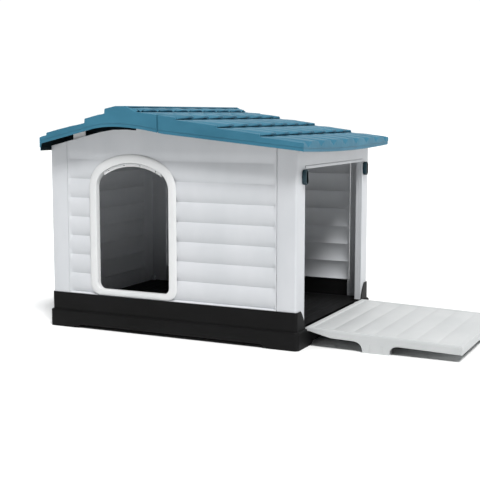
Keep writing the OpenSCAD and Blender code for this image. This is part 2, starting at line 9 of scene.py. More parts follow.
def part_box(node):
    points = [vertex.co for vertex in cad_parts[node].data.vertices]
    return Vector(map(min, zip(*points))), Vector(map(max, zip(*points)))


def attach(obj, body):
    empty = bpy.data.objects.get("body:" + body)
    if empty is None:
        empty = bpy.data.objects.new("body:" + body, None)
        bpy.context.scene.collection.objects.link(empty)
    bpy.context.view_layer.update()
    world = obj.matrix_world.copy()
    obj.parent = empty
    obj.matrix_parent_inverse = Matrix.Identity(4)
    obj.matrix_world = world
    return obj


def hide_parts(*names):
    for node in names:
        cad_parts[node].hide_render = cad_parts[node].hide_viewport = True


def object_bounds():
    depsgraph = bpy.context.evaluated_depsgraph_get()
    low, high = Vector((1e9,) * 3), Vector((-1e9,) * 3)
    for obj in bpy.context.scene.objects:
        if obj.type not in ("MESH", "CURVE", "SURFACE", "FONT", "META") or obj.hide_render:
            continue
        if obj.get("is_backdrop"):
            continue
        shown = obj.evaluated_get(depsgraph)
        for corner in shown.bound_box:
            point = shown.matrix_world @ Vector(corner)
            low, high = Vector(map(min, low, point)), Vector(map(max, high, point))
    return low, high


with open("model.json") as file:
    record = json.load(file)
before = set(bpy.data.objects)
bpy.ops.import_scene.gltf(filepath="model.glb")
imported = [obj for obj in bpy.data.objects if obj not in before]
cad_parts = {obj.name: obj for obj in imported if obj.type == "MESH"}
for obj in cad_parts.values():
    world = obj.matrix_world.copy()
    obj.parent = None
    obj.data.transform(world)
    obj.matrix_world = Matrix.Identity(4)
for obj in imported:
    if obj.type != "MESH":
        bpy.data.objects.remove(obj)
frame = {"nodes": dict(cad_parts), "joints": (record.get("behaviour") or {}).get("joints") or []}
cadLow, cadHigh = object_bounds()

# places taken from the frame

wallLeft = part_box("left_wall")[0].x            # outer plane of the left wall
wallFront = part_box("front_wall")[0].y          # outer plane of the front wall
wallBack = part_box("back_wall")[1].y
wallRight = -wallLeft
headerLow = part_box("side_header")[0].z
panelTongue = 0.012                            # how far a panel's tongues reach behind the posts
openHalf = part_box("left_wall")[1].y - panelTongue    # half width of the side opening
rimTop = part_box("base_tub")[1].z
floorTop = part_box("post_front_left")[0].z
trimLow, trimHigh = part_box("doorway_trim")
sleeveBack = trimHigh.y
roofLow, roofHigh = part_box("roof_right")
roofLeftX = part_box("roof_left")[0].x
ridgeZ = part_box("roof_left")[1].z
railLow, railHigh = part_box("flap_rail")
joints = {j["name"]: j for j in frame["joints"]}
hinge = Vector(joints["terrace_fold"]["pos_m"])
terraceSlope = math.radians(joints["terrace_fold"]["range_deg"][1] - 90)

sheet = 0.003                                  # every moulding's wall
seatGap = 0.0003


# shared tools

def mix(a, b, t):
    return a + (b - a) * t


def ease(t):
    t = min(max(t, 0), 1)
    return t * t * (3 - 2 * t)


def arc(cx, cy, r, a, b, n):
    turns = [math.radians(mix(a, b, i / n)) for i in range(n + 1)]
    return [(cx + r * math.cos(t), cy + r * math.sin(t)) for t in turns]


def roundRect(halfX, halfY, r, n=6):
    x, y = halfX - r, halfY - r
    return (
        arc(x, y, r, 0, 90, n) + arc(-x, y, r, 90, 180, n)
        + arc(-x, -y, r, 180, 270, n) + arc(x, -y, r, 270, 360, n)
    )


def edgeRing(bm, points):
    verts = [bm.verts.new(p) for p in points]
    return verts, [bm.edges.new((a, b)) for a, b in zip(verts, verts[1:] + verts[:1])]


# bridges one ring of points after another, and caps the ends or joins them; rings that share a plane
# can't be paired, so neighbours lie at least a hair apart along the loft
def loft(bm, sections, ends="cap"):
    rings = [edgeRing(bm, points) for points in sections]
    pairs = list(zip(rings, rings[1:]))
    if ends == "join":
        pairs.append((rings[-1], rings[0]))
    for (_, lower), (_, upper) in pairs:
        bmesh.ops.bridge_loops(bm, edges=lower + upper)
    if ends == "cap":
        for verts, _ in (rings[0], rings[-1]):
            bm.faces.new(verts)
    return [v for verts, _ in rings for v in verts]


# pushes an outline's face along a vector
def prism(bm, outline, push):
    face = bm.faces.new([bm.verts.new(p) for p in outline])
    made = bmesh.ops.extrude_face_region(bm, geom=[face])["geom"]
    bmesh.ops.translate(bm, verts=[g for g in made if isinstance(g, bmesh.types.BMVert)], vec=push)


def block(bm, low, high):
    x0, y0, z0 = low
    x1, y1, z1 = high
    prism(bm, [(x0, y0, z0), (x1, y0, z0), (x1, y1, z0), (x0, y1, z0)], (0, 0, z1 - z0))


# a flat grid whose every point is then put in its place
def placedGrid(bm, nx, ny, place):
    made = bmesh.ops.create_grid(bm, x_segments=nx, y_segments=ny, size=1)["verts"]
    for v in made:
        v.co = place(round((v.co.x + 1) / 2 * nx), round((v.co.y + 1) / 2 * ny))
    return made


# a curve from p to r that leaves and arrives towards q
def bend(p, q, r, n):
    def between(a, b, c, t):
        return (1 - t) ** 2 * a + 2 * t * (1 - t) * b + t * t * c
    return [tuple(between(a, b, c, i / n) for a, b, c in zip(p, q, r)) for i in range(n + 1)]


def faceOut(bm):
    bm.normal_update()
    bmesh.ops.recalc_face_normals(bm, faces=bm.faces)


def heldObject(bm, name):
    faceOut(bm)
    mesh = bpy.data.meshes.new(name)
    bm.to_mesh(mesh)
    bm.free()
    held = bpy.data.objects.new(name, mesh)
    bpy.context.scene.collection.objects.link(held)
    return held


# cuts one shape out of another and hands back the result
def cutOut(bm, tool):
    body, knife = heldObject(bm, "cutBody"), heldObject(tool, "cutKnife")
    cut = body.modifiers.new("cut", "BOOLEAN")
    cut.operation, cut.solver, cut.object = "DIFFERENCE", "MANIFOLD", knife
    bpy.context.view_layer.update()
    result = bmesh.new()
    result.from_object(body, bpy.context.evaluated_depsgraph_get())
    for held in (body, knife):
        bpy.data.meshes.remove(held.data)
    return result


# turns a finished bmesh into a piece on its body, shaded smooth between its sharp edges
def addPiece(name, bm, body, nodes, material, sharp=34, merge=1e-6):
    if merge:
        bmesh.ops.remove_doubles(bm, verts=bm.verts, dist=merge)
    faceOut(bm)
    for face in bm.faces:
        face.smooth = True
    for edge in bm.edges:
        edge.smooth = len(edge.link_faces) == 2 and edge.calc_face_angle(0) < math.radians(sharp)
    mesh = bpy.data.meshes.new(name)
    bm.to_mesh(mesh)
    bm.free()
    mesh.materials.append(material)
    piece = bpy.data.objects.new(name, mesh)
    bpy.context.scene.collection.objects.link(piece)
    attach(piece, body)
    if nodes:
        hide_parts(*nodes)
    return piece


def softEdges(piece, width, segments=3, angle=38):
    bevel = piece.modifiers.new("soft edges", "BEVEL")
    bevel.width, bevel.segments, bevel.profile = width, segments, 0.5
    bevel.limit_method, bevel.angle_limit = "ANGLE", math.radians(angle)
    bevel.harden_normals = True
    return bevel


# materials

def hexLinear(code):
    def linear(c):
        return c / 12.92 if c <= 0.04045 else ((c + 0.055) / 1.055) ** 2.4
    return [linear(int(code[i:i + 2], 16) / 255) for i in (1, 3, 5)] + [1.0]


# adds a node, sets its properties and inputs, and links what is given as (node, output)
def addNode(tree, kind, settings=None, links=None):
    node = tree.nodes.new(kind)
    for key, value in (settings or {}).items():
        if key in node.inputs:
            node.inputs[key].default_value = value
        else:
            setattr(node, key, value)
    for key, (source, output) in (links or {}).items():
        tree.links.new(source.outputs[output], node.inputs[key])
    return node


def newMaterial(name):
    material = bpy.data.materials.new(name)
    material.use_nodes = True
    material.node_tree.nodes.clear()
    return material, material.node_tree


# Injection-moulded polypropylene: a spark-eroded mould leaves a fine, even grain that spreads the highlight,
# and the melt's flow leaves very faint clouds in the colour. The grain is drawn a little coarser than real.
def mouldedPolypropylene(name, look):
    material, tree = newMaterial(name)
    place = addNode(tree, "ShaderNodeTexCoord")
    flow = addNode(tree, "ShaderNodeMapping", {"Scale": look["flowStretch"]}, {"Vector": (place, "Object")})
    clouds = addNode(
        tree, "ShaderNodeTexNoise", {"Scale": 1 / look["cloud"], "Detail": 3.0, "Roughness": 0.55},
        {"Vector": (flow, "Vector")}
    )
    colour = addNode(tree, "ShaderNodeValToRGB", links={"Fac": (clouds, "Fac")})
    colour.color_ramp.elements[0].position, colour.color_ramp.elements[1].position = 0.3, 0.7
    colour.color_ramp.elements[0].color = hexLinear(look["dark"])
    colour.color_ramp.elements[1].color = hexLinear(look["light"])
    grain = addNode(
        tree, "ShaderNodeTexNoise", {"Scale": 1 / look["grain"], "Detail": 2.0, "Roughness": 0.6},
        {"Vector": (place, "Object")}
    )
    pores = addNode(
        tree, "ShaderNodeTexVoronoi", {"Scale": 1 / (look["grain"] * 1.7)}, {"Vector": (place, "Object")}
    )
    skin = addNode(
        tree, "ShaderNodeMath", {"operation": "ADD"}, {0: (grain, "Fac"), 1: (pores, "Distance")}
    )
    bump = addNode(
        tree, "ShaderNodeBump", {"Strength": look["bump"], "Distance": look["grainDepth"]},
        {"Height": (skin, "Value")}
    )
    gloss = addNode(
        tree, "ShaderNodeMapRange", {"To Min": look["rough"] - 0.05, "To Max": look["rough"] + 0.05},
        {"Value": (grain, "Fac")}
    )
    surface = addNode(
        tree, "ShaderNodeBsdfPrincipled",
        {"IOR": 1.49, "Metallic": 0.0, "Specular IOR Level": look["specular"]},
        {"Base Color": (colour, "Color"), "Roughness": (gloss, "Result"), "Normal": (bump, "Normal")}
    )
    addNode(tree, "ShaderNodeOutputMaterial", links={"Surface": (surface, "BSDF")})
    return material


# Zinc-plated steel: small crystals in the plating scatter the light into a dull, slightly mottled sheen
def zincPlatedSteel(name):
    material, tree = newMaterial(name)
    place = addNode(tree, "ShaderNodeTexCoord")
    crystals = addNode(tree, "ShaderNodeTexVoronoi", {"Scale": 1 / 0.0016}, {"Vector": (place, "Object")})
    colour = addNode(tree, "ShaderNodeValToRGB", links={"Fac": (crystals, "Distance")})
    colour.color_ramp.elements[0].color = hexLinear("#A9ADB0")
    colour.color_ramp.elements[1].color = hexLinear("#C9CCCE")
    gloss = addNode(
        tree, "ShaderNodeMapRange", {"To Min": 0.28, "To Max": 0.46}, {"Value": (crystals, "Distance")}
    )
    surface = addNode(
        tree, "ShaderNodeBsdfPrincipled", {"Metallic": 1.0},
        {"Base Color": (colour, "Color"), "Roughness": (gloss, "Result")}
    )
    addNode(tree, "ShaderNodeOutputMaterial", links={"Surface": (surface, "BSDF")})
    return material


plasticLooks = {
    "wall_plastic": {
        "dark": "#C5C8CC", "light": "#CDCFD3", "rough": 0.46, "specular": 0.42,
        "grain": 0.0016, "grainDepth": 0.00005, "bump": 0.5, "cloud": 0.11, "flowStretch": (1, 1, 0.45),
    },
    "trim_plastic": {
        "dark": "#D4D6D7", "light": "#DCDDDE", "rough": 0.4, "specular": 0.45,
        "grain": 0.0014, "grainDepth": 0.00003, "bump": 0.4, "cloud": 0.09, "flowStretch": (1, 1, 0.6),
    },
    "base_plastic": {
        "dark": "#0A0A0A", "light": "#101011", "rough": 0.56, "specular": 0.16,
        "grain": 0.0018, "grainDepth": 0.00008, "bump": 0.6, "cloud": 0.08, "flowStretch": (0.5, 0.5, 1),
    },
    "roof_plastic": {
        "dark": "#2F677E", "light": "#3C778F", "rough": 0.5, "specular": 0.22,
        "grain": 0.0018, "grainDepth": 0.00007, "bump": 0.55, "cloud": 0.1, "flowStretch": (0.5, 1, 1),
    },
    "terrace_plastic": {
        "dark": "#BABDBE", "light": "#C4C6C7", "rough": 0.48, "specular": 0.4,
        "grain": 0.0018, "grainDepth": 0.00007, "bump": 0.6, "cloud": 0.12, "flowStretch": (1, 0.5, 1),
    },
    "latch_plastic": {
        "dark": "#0E2933", "light": "#15363F", "rough": 0.34, "specular": 0.5,
        "grain": 0.0011, "grainDepth": 0.00003, "bump": 0.4, "cloud": 0.03, "flowStretch": (1, 1, 1),
    },
}
finish = {slot: mouldedPolypropylene(slot.replace("_", " "), look) for slot, look in plasticLooks.items()}
finish["zinc_steel"] = zincPlatedSteel("zinc-plated steel")
print("materials ready")

# roof line, which the walls follow too

roof = {
    "leftEave": 0.594,
    "rightEave": 0.587,
    "ridgeX": -0.125,
    "ridgeHalf": 0.018,
    "riserLean": 0.0015,
    "leftSteps": [(0.0251, 0.009), (0.1658, 0.013), (0.2371, 0.014)],  # from the eave: distance, riser
    "shoulder": (0.033, 0.017),     # run and drop beside the ridge
    "rightCourses": 4,
    "rightRiser": 0.007,
    "leftFascia": 0.020,            # depth of the fascia at the eaves
    "rightFascia": 0.023,
    "arch": [(-0.110, -0.070), (-0.025, -0.047), (0.138, -0.080)],     # from the ridge
    "leftLip": 0.041,
    "rightLipBow": 0.008,
    "ventGap": 0.009,
    "gableStep": 0.022,             # right of the ridge
    "seam": 0.002,                  # half width of the groove between the two halves
    "tile": 0.097,
    "tileReach": (0.007, 0.017),    # how far a tile's nose stands out, and how far its notch draws back
    "notchShare": 1.0,              # of the riser
    "flare": 0.62,                  # how wide the notches open towards a course's lower edge,
    "eaveFlare": 0.34,              # and at the eaves
    "notchTop": 0.12,               # how wide they are at their upper end
    "notchFrom": (0.04, 0.3),       # share of a course where they begin, and over which they sink
    "noseShape": (0.42, 0.4),       # a nose's flat half width and its flanks', as shares of half a tile
    "reachFrom": 0.45,              # share of a course where the noses begin to stand out
    "eaveNotch": 0.013,
    "leftEaveNotch": 0.006,
    "leftSkip": (0.06, 0.2),        # share of a left course without rows, and of the short one at the eave
    "eaveDrop": 0.011,              # height of an eave's outer face
    "undercut": 0.011,
    "crown": 0.0045,
    "crownFade": 0.008,             # height below the ridge over which the tiles' crown fades out
    "bead": 0.011,                  # height of the fascia's lower bead, and how far it is set in
    "beadIn": 0.0014,
    "cornerRun": 0.004,             # over which the insets meet at the corners
    "eaveBlend": 0.005,             # over which a fascia's lower edge becomes the eave's lip
    "tiles": 7,                     # in a course
    "plainEnd": (0.003, 0.010),     # plain strip along a gable, and the run over which the tiles rise
    "gableEdge": (0.0014, 0.0016),  # rounding along the gables: drop and run
    "skin": 0.0026,
}
capX = roof["ridgeX"] + roof["ridgeHalf"] + roof["shoulder"][0]
capZ = ridgeZ - roof["shoulder"][1]
courseRun = (roofHigh.x - capX) / roof["rightCourses"]
rightPitch = (
    (capZ - roof["rightEave"] - roof["rightRiser"] * (roof["rightCourses"] - 1)) / (roofHigh.x - capX)
)
leftPitch = (
    (ridgeZ - roof["leftEave"] - sum(s[1] for s in roof["leftSteps"]))
    / (roof["ridgeX"] - roof["ridgeHalf"] - roofLeftX)
)


# the fascia's lower edge: straight, arched under the ridge, straight again
def fasciaLow(x):
    (ax, az), (bx, bz), (cx, cz) = [(roof["ridgeX"] + p, ridgeZ + q) for p, q in roof["arch"]]
    if x <= ax:
        return mix(roof["leftEave"] - roof["leftFascia"], az, (x - roofLeftX) / (ax - roofLeftX))
    if x >= cx:
        return mix(cz, roof["rightEave"] - roof["rightFascia"], (x - cx) / (roofHigh.x - cx))
    square, slope = ax - 2 * bx + cx, 2 * (bx - ax)
    t = (-slope + math.sqrt(slope * slope + 4 * square * (x - ax))) / (2 * square)
    return (1 - t) ** 2 * az + 2 * t * (1 - t) * bz + t * t * cz


# top of the walls under the roof: a vent gap on the left, the slope's under side on the right
def wallTop(x):
    if x < roof["ridgeX"] + roof["gableStep"]:
        return fasciaLow(x) - roof["ventGap"]
    pitch = roof["rightRiser"] / courseRun + rightPitch
    lowX = capX + courseRun + roof["riserLean"]
    lowZ = capZ - rightPitch * courseRun - roof["rightRiser"]
    return lowZ - sheet - seatGap - pitch * (x - lowX + sheet)


# walls: clapboards that bulge out and meet in sharp grooves

boards = {
    "count": 7,
    "first": rimTop + 0.0046,
    "pitch": 0.0589,
    "depth": 0.0064,
    "bulge": 0.5,                   # height share of a board where it stands out furthest
    "power": 2.1,
    "shares": [0, 0.012, 0.03, 0.07, 0.14, 0.24, 0.36, 0.48, 0.6, 0.72, 0.83, 0.91, 0.96, 0.985],
    "seam": 0.0014,                 # gap beside the posts
    "topFade": 0.4,                 # the last board's upper edge is this much shallower
    "fade": 0.012,                  # the bulges die out over this length at a panel's ends
    "below": (0.006, 0.0034, 0.0015),                        # rows below the first board
    "above": (0, 0.003, 0.007, 0.012, 0.018, 0.025, 0.032),  # rows above the last one
    "belowRun": 18,                 # below the first board and above the last one, the face comes
    "aboveRun": 2,                  # back out over a board's height divided by this
    "ends": (0, 0.002, 0.004, 0.006, 0.009, 0.012),          # columns in from a panel's ends
    "columns": (0.03, 14),          # the others: where they start, and how many steps
    "gableRows": 3,                 # from the last of those rows up to the roof line
}


def boardSink(z):
    t = (z - boards["first"]) / boards["pitch"]
    if t < 0:
        return boards["depth"] * ease(1 + t * boards["belowRun"])
    if t > boards["count"]:
        return boards["depth"] * boards["topFade"] * ease(1 - (t - boards["count"]) * boards["aboveRun"])
    share = t % 1 if t < boards["count"] else 1
    fade = mix(1, boards["topFade"], ease(t - boards["count"] + 1))
    return boards["depth"] * fade * abs((share - boards["bulge"]) / boards["bulge"]) ** boards["power"]


boardHeights = (
    [floorTop] + [boards["first"] - d for d in boards["below"]]
    + [boards["first"] + (k + s) * boards["pitch"] for k in range(boards["count"]) for s in boards["shares"]]
    + [boards["first"] + boards["count"] * boards["pitch"] + d for d in boards["above"]]
)


# a sheet of clapboards that stands in the plane y = 0 with its outside towards -y
def boardSheet(halfLength, top, stops=()):
    reach = halfLength - boards["seam"]
    inset, steps = boards["columns"]
    across = sorted(
        [side * (reach - e) for side in (-1, 1) for e in boards["ends"]]
        + [mix(-reach + inset, reach - inset, i / steps) for i in range(steps + 1)] + list(stops)
    )
    rows = len(boardHeights) + boards["gableRows"]

    def place(i, j):
        x = across[i]
        fade = ease((reach - abs(x)) / boards["fade"])
        if j < len(boardHeights):
            z = boardHeights[j]
        else:
            z = mix(boardHeights[-1], top(x), (j - len(boardHeights) + 1) / boards["gableRows"])
        return Vector((x, boardSink(z) * fade, z))

    bm = bmesh.new()
    placedGrid(bm, len(across) - 1, rows - 1, place)
    faceOut(bm)
    if sum(f.normal.y for f in bm.faces) > 0:
        bmesh.ops.reverse_faces(bm, faces=bm.faces)
    bmesh.ops.solidify(bm, geom=bm.faces, thickness=sheet)
    return bm


doorway = {
    "arch": 0.080,
    "haunch": 0.064,
    "sillRadius": 0.021,
    "trim": 0.026,
    "sleeve": 0.004,
    "sleeveTip": 0.0004,            # rounding of the sleeve's inner end
    "sill": 0.128,
    "steps": (8, 10, 24),           # in a sill corner, a haunch and the crown
    "cut": 0.02,                    # reach of the wall's cut to each side
}
doorX = (trimLow.x + trimHigh.x) / 2
doorHalf = (trimHigh.x - trimLow.x) / 2 - doorway["trim"]
doorTop = trimHigh.z - doorway["trim"]
trimFoot = (doorway["sill"] - trimLow.z) / doorway["trim"]   # the trim is narrower along the sill
archWide, archHigh, haunch = doorHalf, doorway["arch"], doorway["haunch"]
crownRadius = (archHigh ** 2 + (archWide - haunch) ** 2 - haunch ** 2) / (2 * (archHigh - haunch))


# the doorway's outline grown by g, at depth y
def doorwayRing(g, y, foot=trimFoot):
    a, b, r = doorHalf + g, doorway["arch"] + g, haunch + g
    spring = doorTop - doorway["arch"]
    turn = math.degrees(math.atan2(crownRadius + g - b, a - r))
    f = doorway["sillRadius"] + g / 2
    low = doorway["sill"] - g * foot
    sillSteps, haunchSteps, crownSteps = doorway["steps"]
    crown = arc(0, spring + b - crownRadius - g, crownRadius + g, turn, 180 - turn, crownSteps)
    outline = (
        arc(-a + f, low + f, f, 180, 270, sillSteps) + arc(a - f, low + f, f, 270, 360, sillSteps)
        + arc(a - r, spring, r, 0, turn, haunchSteps) + crown[1:-1]
        + arc(-a + r, spring, r, 180 - turn, 180, haunchSteps)
    )
    return [(doorX + x, y, z) for x, z in outline]


step = roof["ridgeX"] + roof["gableStep"]
gableStops = (step - 0.0002, step + 0.0002)       # a column on each side of the step
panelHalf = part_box("front_wall")[1].x - panelTongue

bm = boardSheet(panelHalf, wallTop, gableStops)
bmesh.ops.translate(bm, verts=bm.verts, vec=(0, wallFront, 0))
hole = bmesh.new()
grow = doorway["sleeve"] + seatGap
loft(hole, [doorwayRing(grow, wallFront + side * doorway["cut"], 1) for side in (-1, 1)])
addPiece("frontWall", cutOut(bm, hole), "house", ["front_wall"], finish["wall_plastic"])

bm = boardSheet(panelHalf, wallTop, gableStops)
bmesh.ops.scale(bm, verts=bm.verts, vec=(1, -1, 1))
bmesh.ops.translate(bm, verts=bm.verts, vec=(0, wallBack, 0))
addPiece("backWall", bm, "house", ["back_wall"], finish["wall_plastic"])

bm = boardSheet(openHalf, lambda x: wallTop(wallLeft))
bmesh.ops.rotate(bm, verts=bm.verts, cent=(0, 0, 0), matrix=Matrix.Rotation(math.radians(-90), 3, "Z"))
bmesh.ops.translate(bm, verts=bm.verts, vec=(wallLeft, 0, 0))
addPiece("leftWall", bm, "house", ["left_wall"], finish["wall_plastic"])
print("walls ready")

# corner posts and the header over the side opening

posts = {
    "band": wallRight - panelHalf,
    "corner": 0.006,
    "lip": 0.0014,                  # rounding beside the seams
    "jamb": 0.020,
    "innerCorner": 0.001,
    "bossRadius": 0.008,
    "bossTaper": 0.9,
    "boss": 0.016,
    "bossIn": 0.0105,
    "reveal": 0.006,                # groove down each jamb: place, width, depth
    "revealWide": 0.0016,
    "revealDeep": 0.0012,
}


# an L-shaped post, or one with a jamb for the side opening; x = 0 and y = 0 lie on the walls' planes
def postOutline(jamb):
    band, r, lip = posts["band"], posts["corner"], posts["lip"]
    sideEnd = [(0.0, band)] if jamb else arc(lip, band - lip, lip, 90, 180, 3)
    outline = sideEnd + arc(r, r, r, 180, 270, 8) + arc(band - lip, lip, lip, 270, 360, 3)
    outline += [(band, sheet), (sheet + posts["innerCorner"], sheet), (sheet, sheet + posts["innerCorner"])]
    if jamb:
        depth, cut, wide = posts["jamb"], posts["reveal"], posts["revealWide"]
        outline += [
            (sheet, band - sheet), (depth, band - sheet), (depth, band),
            (cut + wide, band), (cut + wide / 2, band - posts["revealDeep"]), (cut, band),
        ]
    else:
        outline += [(sheet, band)]
    return outline


def makePost(name, node, sideX, sideY, jamb):
    bm = bmesh.new()
    outline = postOutline(jamb)

    def at(p, top):
        x = sideX * (wallRight - p[0])
        y = sideY * (wallBack - p[1])
        return (x, y, wallTop(x) if top else floorTop)

    loft(bm, [[at(p, False) for p in outline], [at(p, True) for p in outline]])
    foot = bmesh.ops.create_cone(
        bm, cap_ends=True, segments=24, radius1=posts["bossRadius"],
        radius2=posts["bossRadius"] * posts["bossTaper"], depth=posts["boss"]
    )["verts"]
    bmesh.ops.translate(bm, verts=foot, vec=(
        sideX * (wallRight - posts["bossIn"]), sideY * (wallBack - posts["bossIn"]),
        floorTop + posts["boss"] / 2
    ))
    addPiece(name, bm, "house", [node], finish["wall_plastic"])


makePost("postFrontLeft", "post_front_left", -1, -1, False)
makePost("postBackLeft", "post_back_left", -1, 1, False)
makePost("postFrontRight", "post_front_right", 1, -1, True)
makePost("postBackRight", "post_back_right", 1, 1, True)

header = {
    "depth": 0.020,
    "band": 0.002,                  # how far the raised band stands out
    "bandHeight": 0.009,
    "bandFall": 0.0005,             # slope of the band's upper edge
    "soft": 0.0015,
}
x, z, top = wallRight, headerLow, wallTop(wallRight)
band, tall, soft, depth = header["band"], header["bandHeight"], header["soft"], header["depth"]
headerOutline = [
    (x - depth, z), (x + band - soft, z), (x + band, z + soft), (x + band, z + tall - soft),
    (x + band - soft, z + tall), (x, z + tall + header["bandFall"]),
    (x, top), (x - sheet, top), (x - sheet, z + sheet), (x - depth, z + sheet),
]
bm = bmesh.new()
ends = [-openHalf + seatGap, openHalf - seatGap]
loft(bm, [[(px, y, pz) for px, pz in headerOutline] for y in ends])
addPiece("sideHeader", bm, "house", ["side_header"], finish["wall_plastic"])
print("posts and header ready")

# doorway trim and the rail for a door flap

trimSection = [                     # share of the trim's width, and depth behind its front
    (0, None), (0, 0.0022), (0.02, 0.0009), (0.06, 0.0002), (0.1, 0), (0.3, 0.00002), (0.5, 0.0001),
    (0.62, 0.0003), (0.74, 0.0008), (0.85, 0.0015), (0.94, 0.0025), (0.99, 0.0034), (1, 0.0037), (1, 0.0039),
]
sleeveFrom = trimLow.y + 0.0041     # where the sleeve starts behind the trim
bm = bmesh.new()
sections = [
    doorwayRing(share * doorway["trim"], sleeveBack if depth is None else trimLow.y + depth)
    for share, depth in trimSection
]
sections += [doorwayRing(doorway["sleeve"], y, 1) for y in (sleeveFrom, sleeveBack - doorway["sleeveTip"])]
sections += [doorwayRing(doorway["sleeve"] - doorway["sleeveTip"], sleeveBack - 0.0001, 1)]
loft(bm, sections, "join")
addPiece("doorwayTrim", bm, "house", ["doorway_trim"], finish["trim_plastic"], sharp=50)

rail = {
    "gap": 0.001,
    "height": 0.010,
    "holes": [-0.082, -0.028, 0.028, 0.082],
    "holeRadius": 0.0022,
    "drill": 0.03,                  # length of the tool that makes them
    "soft": 0.0016,
    "steps": 36,
}
railHalf = (railHigh.x - railLow.x) / 2


# height of the arch's inner face at x from the doorway's middle
def archHeight(x):
    over = abs(x) - doorHalf + haunch
    if over > 0 and abs(x) > (doorHalf - haunch) * crownRadius / (crownRadius - haunch):
        return doorTop - doorway["arch"] + math.sqrt(haunch ** 2 - over ** 2)
    return doorTop - crownRadius + math.sqrt(crownRadius ** 2 - x ** 2)


def railRing(x):
    halfY, halfZ = (railHigh.y - railLow.y) / 2, rail["height"] / 2
    mid = archHeight(x) - rail["gap"] - halfZ
    return [
        (doorX + x, (railLow.y + railHigh.y) / 2 + y, mid + z)
        for y, z in roundRect(halfY, halfZ, rail["soft"], 3)
    ]


bm = bmesh.new()
loft(bm, [railRing(mix(-railHalf, railHalf, i / rail["steps"])) for i in range(rail["steps"] + 1)])
drill = bmesh.new()
for x in rail["holes"]:
    pin = bmesh.ops.create_cone(
        drill, cap_ends=True, segments=20, radius1=rail["holeRadius"], radius2=rail["holeRadius"],
        depth=rail["drill"]
    )["verts"]
    bmesh.ops.rotate(drill, verts=pin, cent=(0, 0, 0), matrix=Matrix.Rotation(math.radians(90), 3, "X"))
    height = archHeight(x) - rail["gap"] - rail["height"] / 2
    bmesh.ops.translate(drill, verts=pin, vec=(doorX + x, (railLow.y + railHigh.y) / 2, height))
bm = cutOut(bm, drill)
addPiece("flapRail", bm, "house", ["flap_rail"], finish["trim_plastic"])
print("doorway ready")

# roof: two halves of tiled courses with fascias and eave lips

courseShares = [0.05, 0.12, 0.22, 0.34, 0.46, 0.58, 0.7, 0.8, 0.88, 0.94, 0.975]
edgeShape = [                       # how far a course's edge stands back, and share of its riser
    (0.0015, 0), (0, 0.14), (0, 0.55), (roof["undercut"], 0.8), (roof["undercut"], 1),
]
roofBorder = ((roofHigh.y - roofLow.y) - roof["tiles"] * roof["tile"]) / 2


# the stations down one course, from (x0, z0) to its lower edge at (x1, z1), with a riser or an eave below
def courseStations(x0, z0, x1, z1, riser, skip=0.0, notch=None):
    way = 1 if x1 > x0 else -1
    deep = roof["notchShare"] * riser if notch is None else notch
    made = []
    for s in courseShares:
        if s > skip:
            x, z = mix(x0, x1, s), mix(z0, z1, s)
            made.append({
                "plain": (x, z), "x": x, "z": z, "bottom": z, "share": 0, "s": s,
                "way": way if riser else 0, "deep": deep,
            })
    for setBack, share in edgeShape if riser else edgeShape[:2]:
        drop = riser if riser else roof["eaveDrop"]
        plainX = x1 + way * (roof["riserLean"] * share if riser else 0)
        made.append({
            "plain": (plainX, z1 - drop * share), "x": x1 - way * setBack, "z": z1, "bottom": z1 - drop,
            "share": share, "s": 1, "way": way if riser else 0, "deep": deep,
        })
    return made


# where a station's point lies at depth y
def roofPoint(station, y):
    fromEnd = min(y - roofLow.y, roofHigh.y - y)
    plainRun, riseRun = roof["plainEnd"]
    tiled = ease((fromEnd - plainRun) / riseRun)
    t = ((y - roofLow.y - roofBorder) / roof["tile"]) % 1
    u = abs(2 * t - 1)                              # 1 in the notch, 0 in the middle of a tile
    s = station["s"]
    width = roof["notchTop"] + (roof["flare"] if station["way"] else roof["eaveFlare"]) * s
    notch = min(max((u - 1 + width) / width, 0), 1)
    flat, flank = roof["noseShape"]
    nose = 1 - min(max((u - flat) / flank, 0), 1)
    stand = ease((s - roof["reachFrom"]) / (1 - roof["reachFrom"]))
    reach = mix(-roof["tileReach"][1], roof["tileReach"][0], nose) * stand
    notchStart, notchRun = roof["notchFrom"]
    z = station["z"] - station["deep"] * notch * ease((s - notchStart) / notchRun)
    crown = roof["crown"] * min((ridgeZ - station["z"]) / roof["crownFade"], 1)
    z += crown * (1 - u * u) * ease(s * 2) * (0 if station["deep"] == 0 else 1)
    z = mix(z, station["bottom"], station["share"])
    x = station["x"] + station["way"] * reach       # the eaves' noses stay in line
    fall, fallRun = roof["gableEdge"]
    px, pz = station["plain"]
    return Vector((mix(px, x, tiled), y, mix(pz, z, tiled) - fall * (1 - min(fromEnd / fallRun, 1))))


gableColumns = (0, 0.0008, 0.0018, 0.004, 0.008, 0.013, 0.02, 0.027)       # in from a gable
tileColumns = (0, 0.03, 0.08, 0.13, 0.18, 0.23, 0.3, 0.4, 0.5, 0.6, 0.7, 0.77, 0.82, 0.87, 0.92, 0.97)
roofDepths = sorted(set(
    [round(roofLow.y + d, 5) for d in gableColumns] + [round(roofHigh.y - d, 5) for d in gableColumns]
    + [
        round(roofLow.y + roofBorder + (k + t) * roof["tile"], 5)
        for k in range(roof["tiles"] + 1) for t in tileColumns if k < roof["tiles"] or t == 0
    ]
))


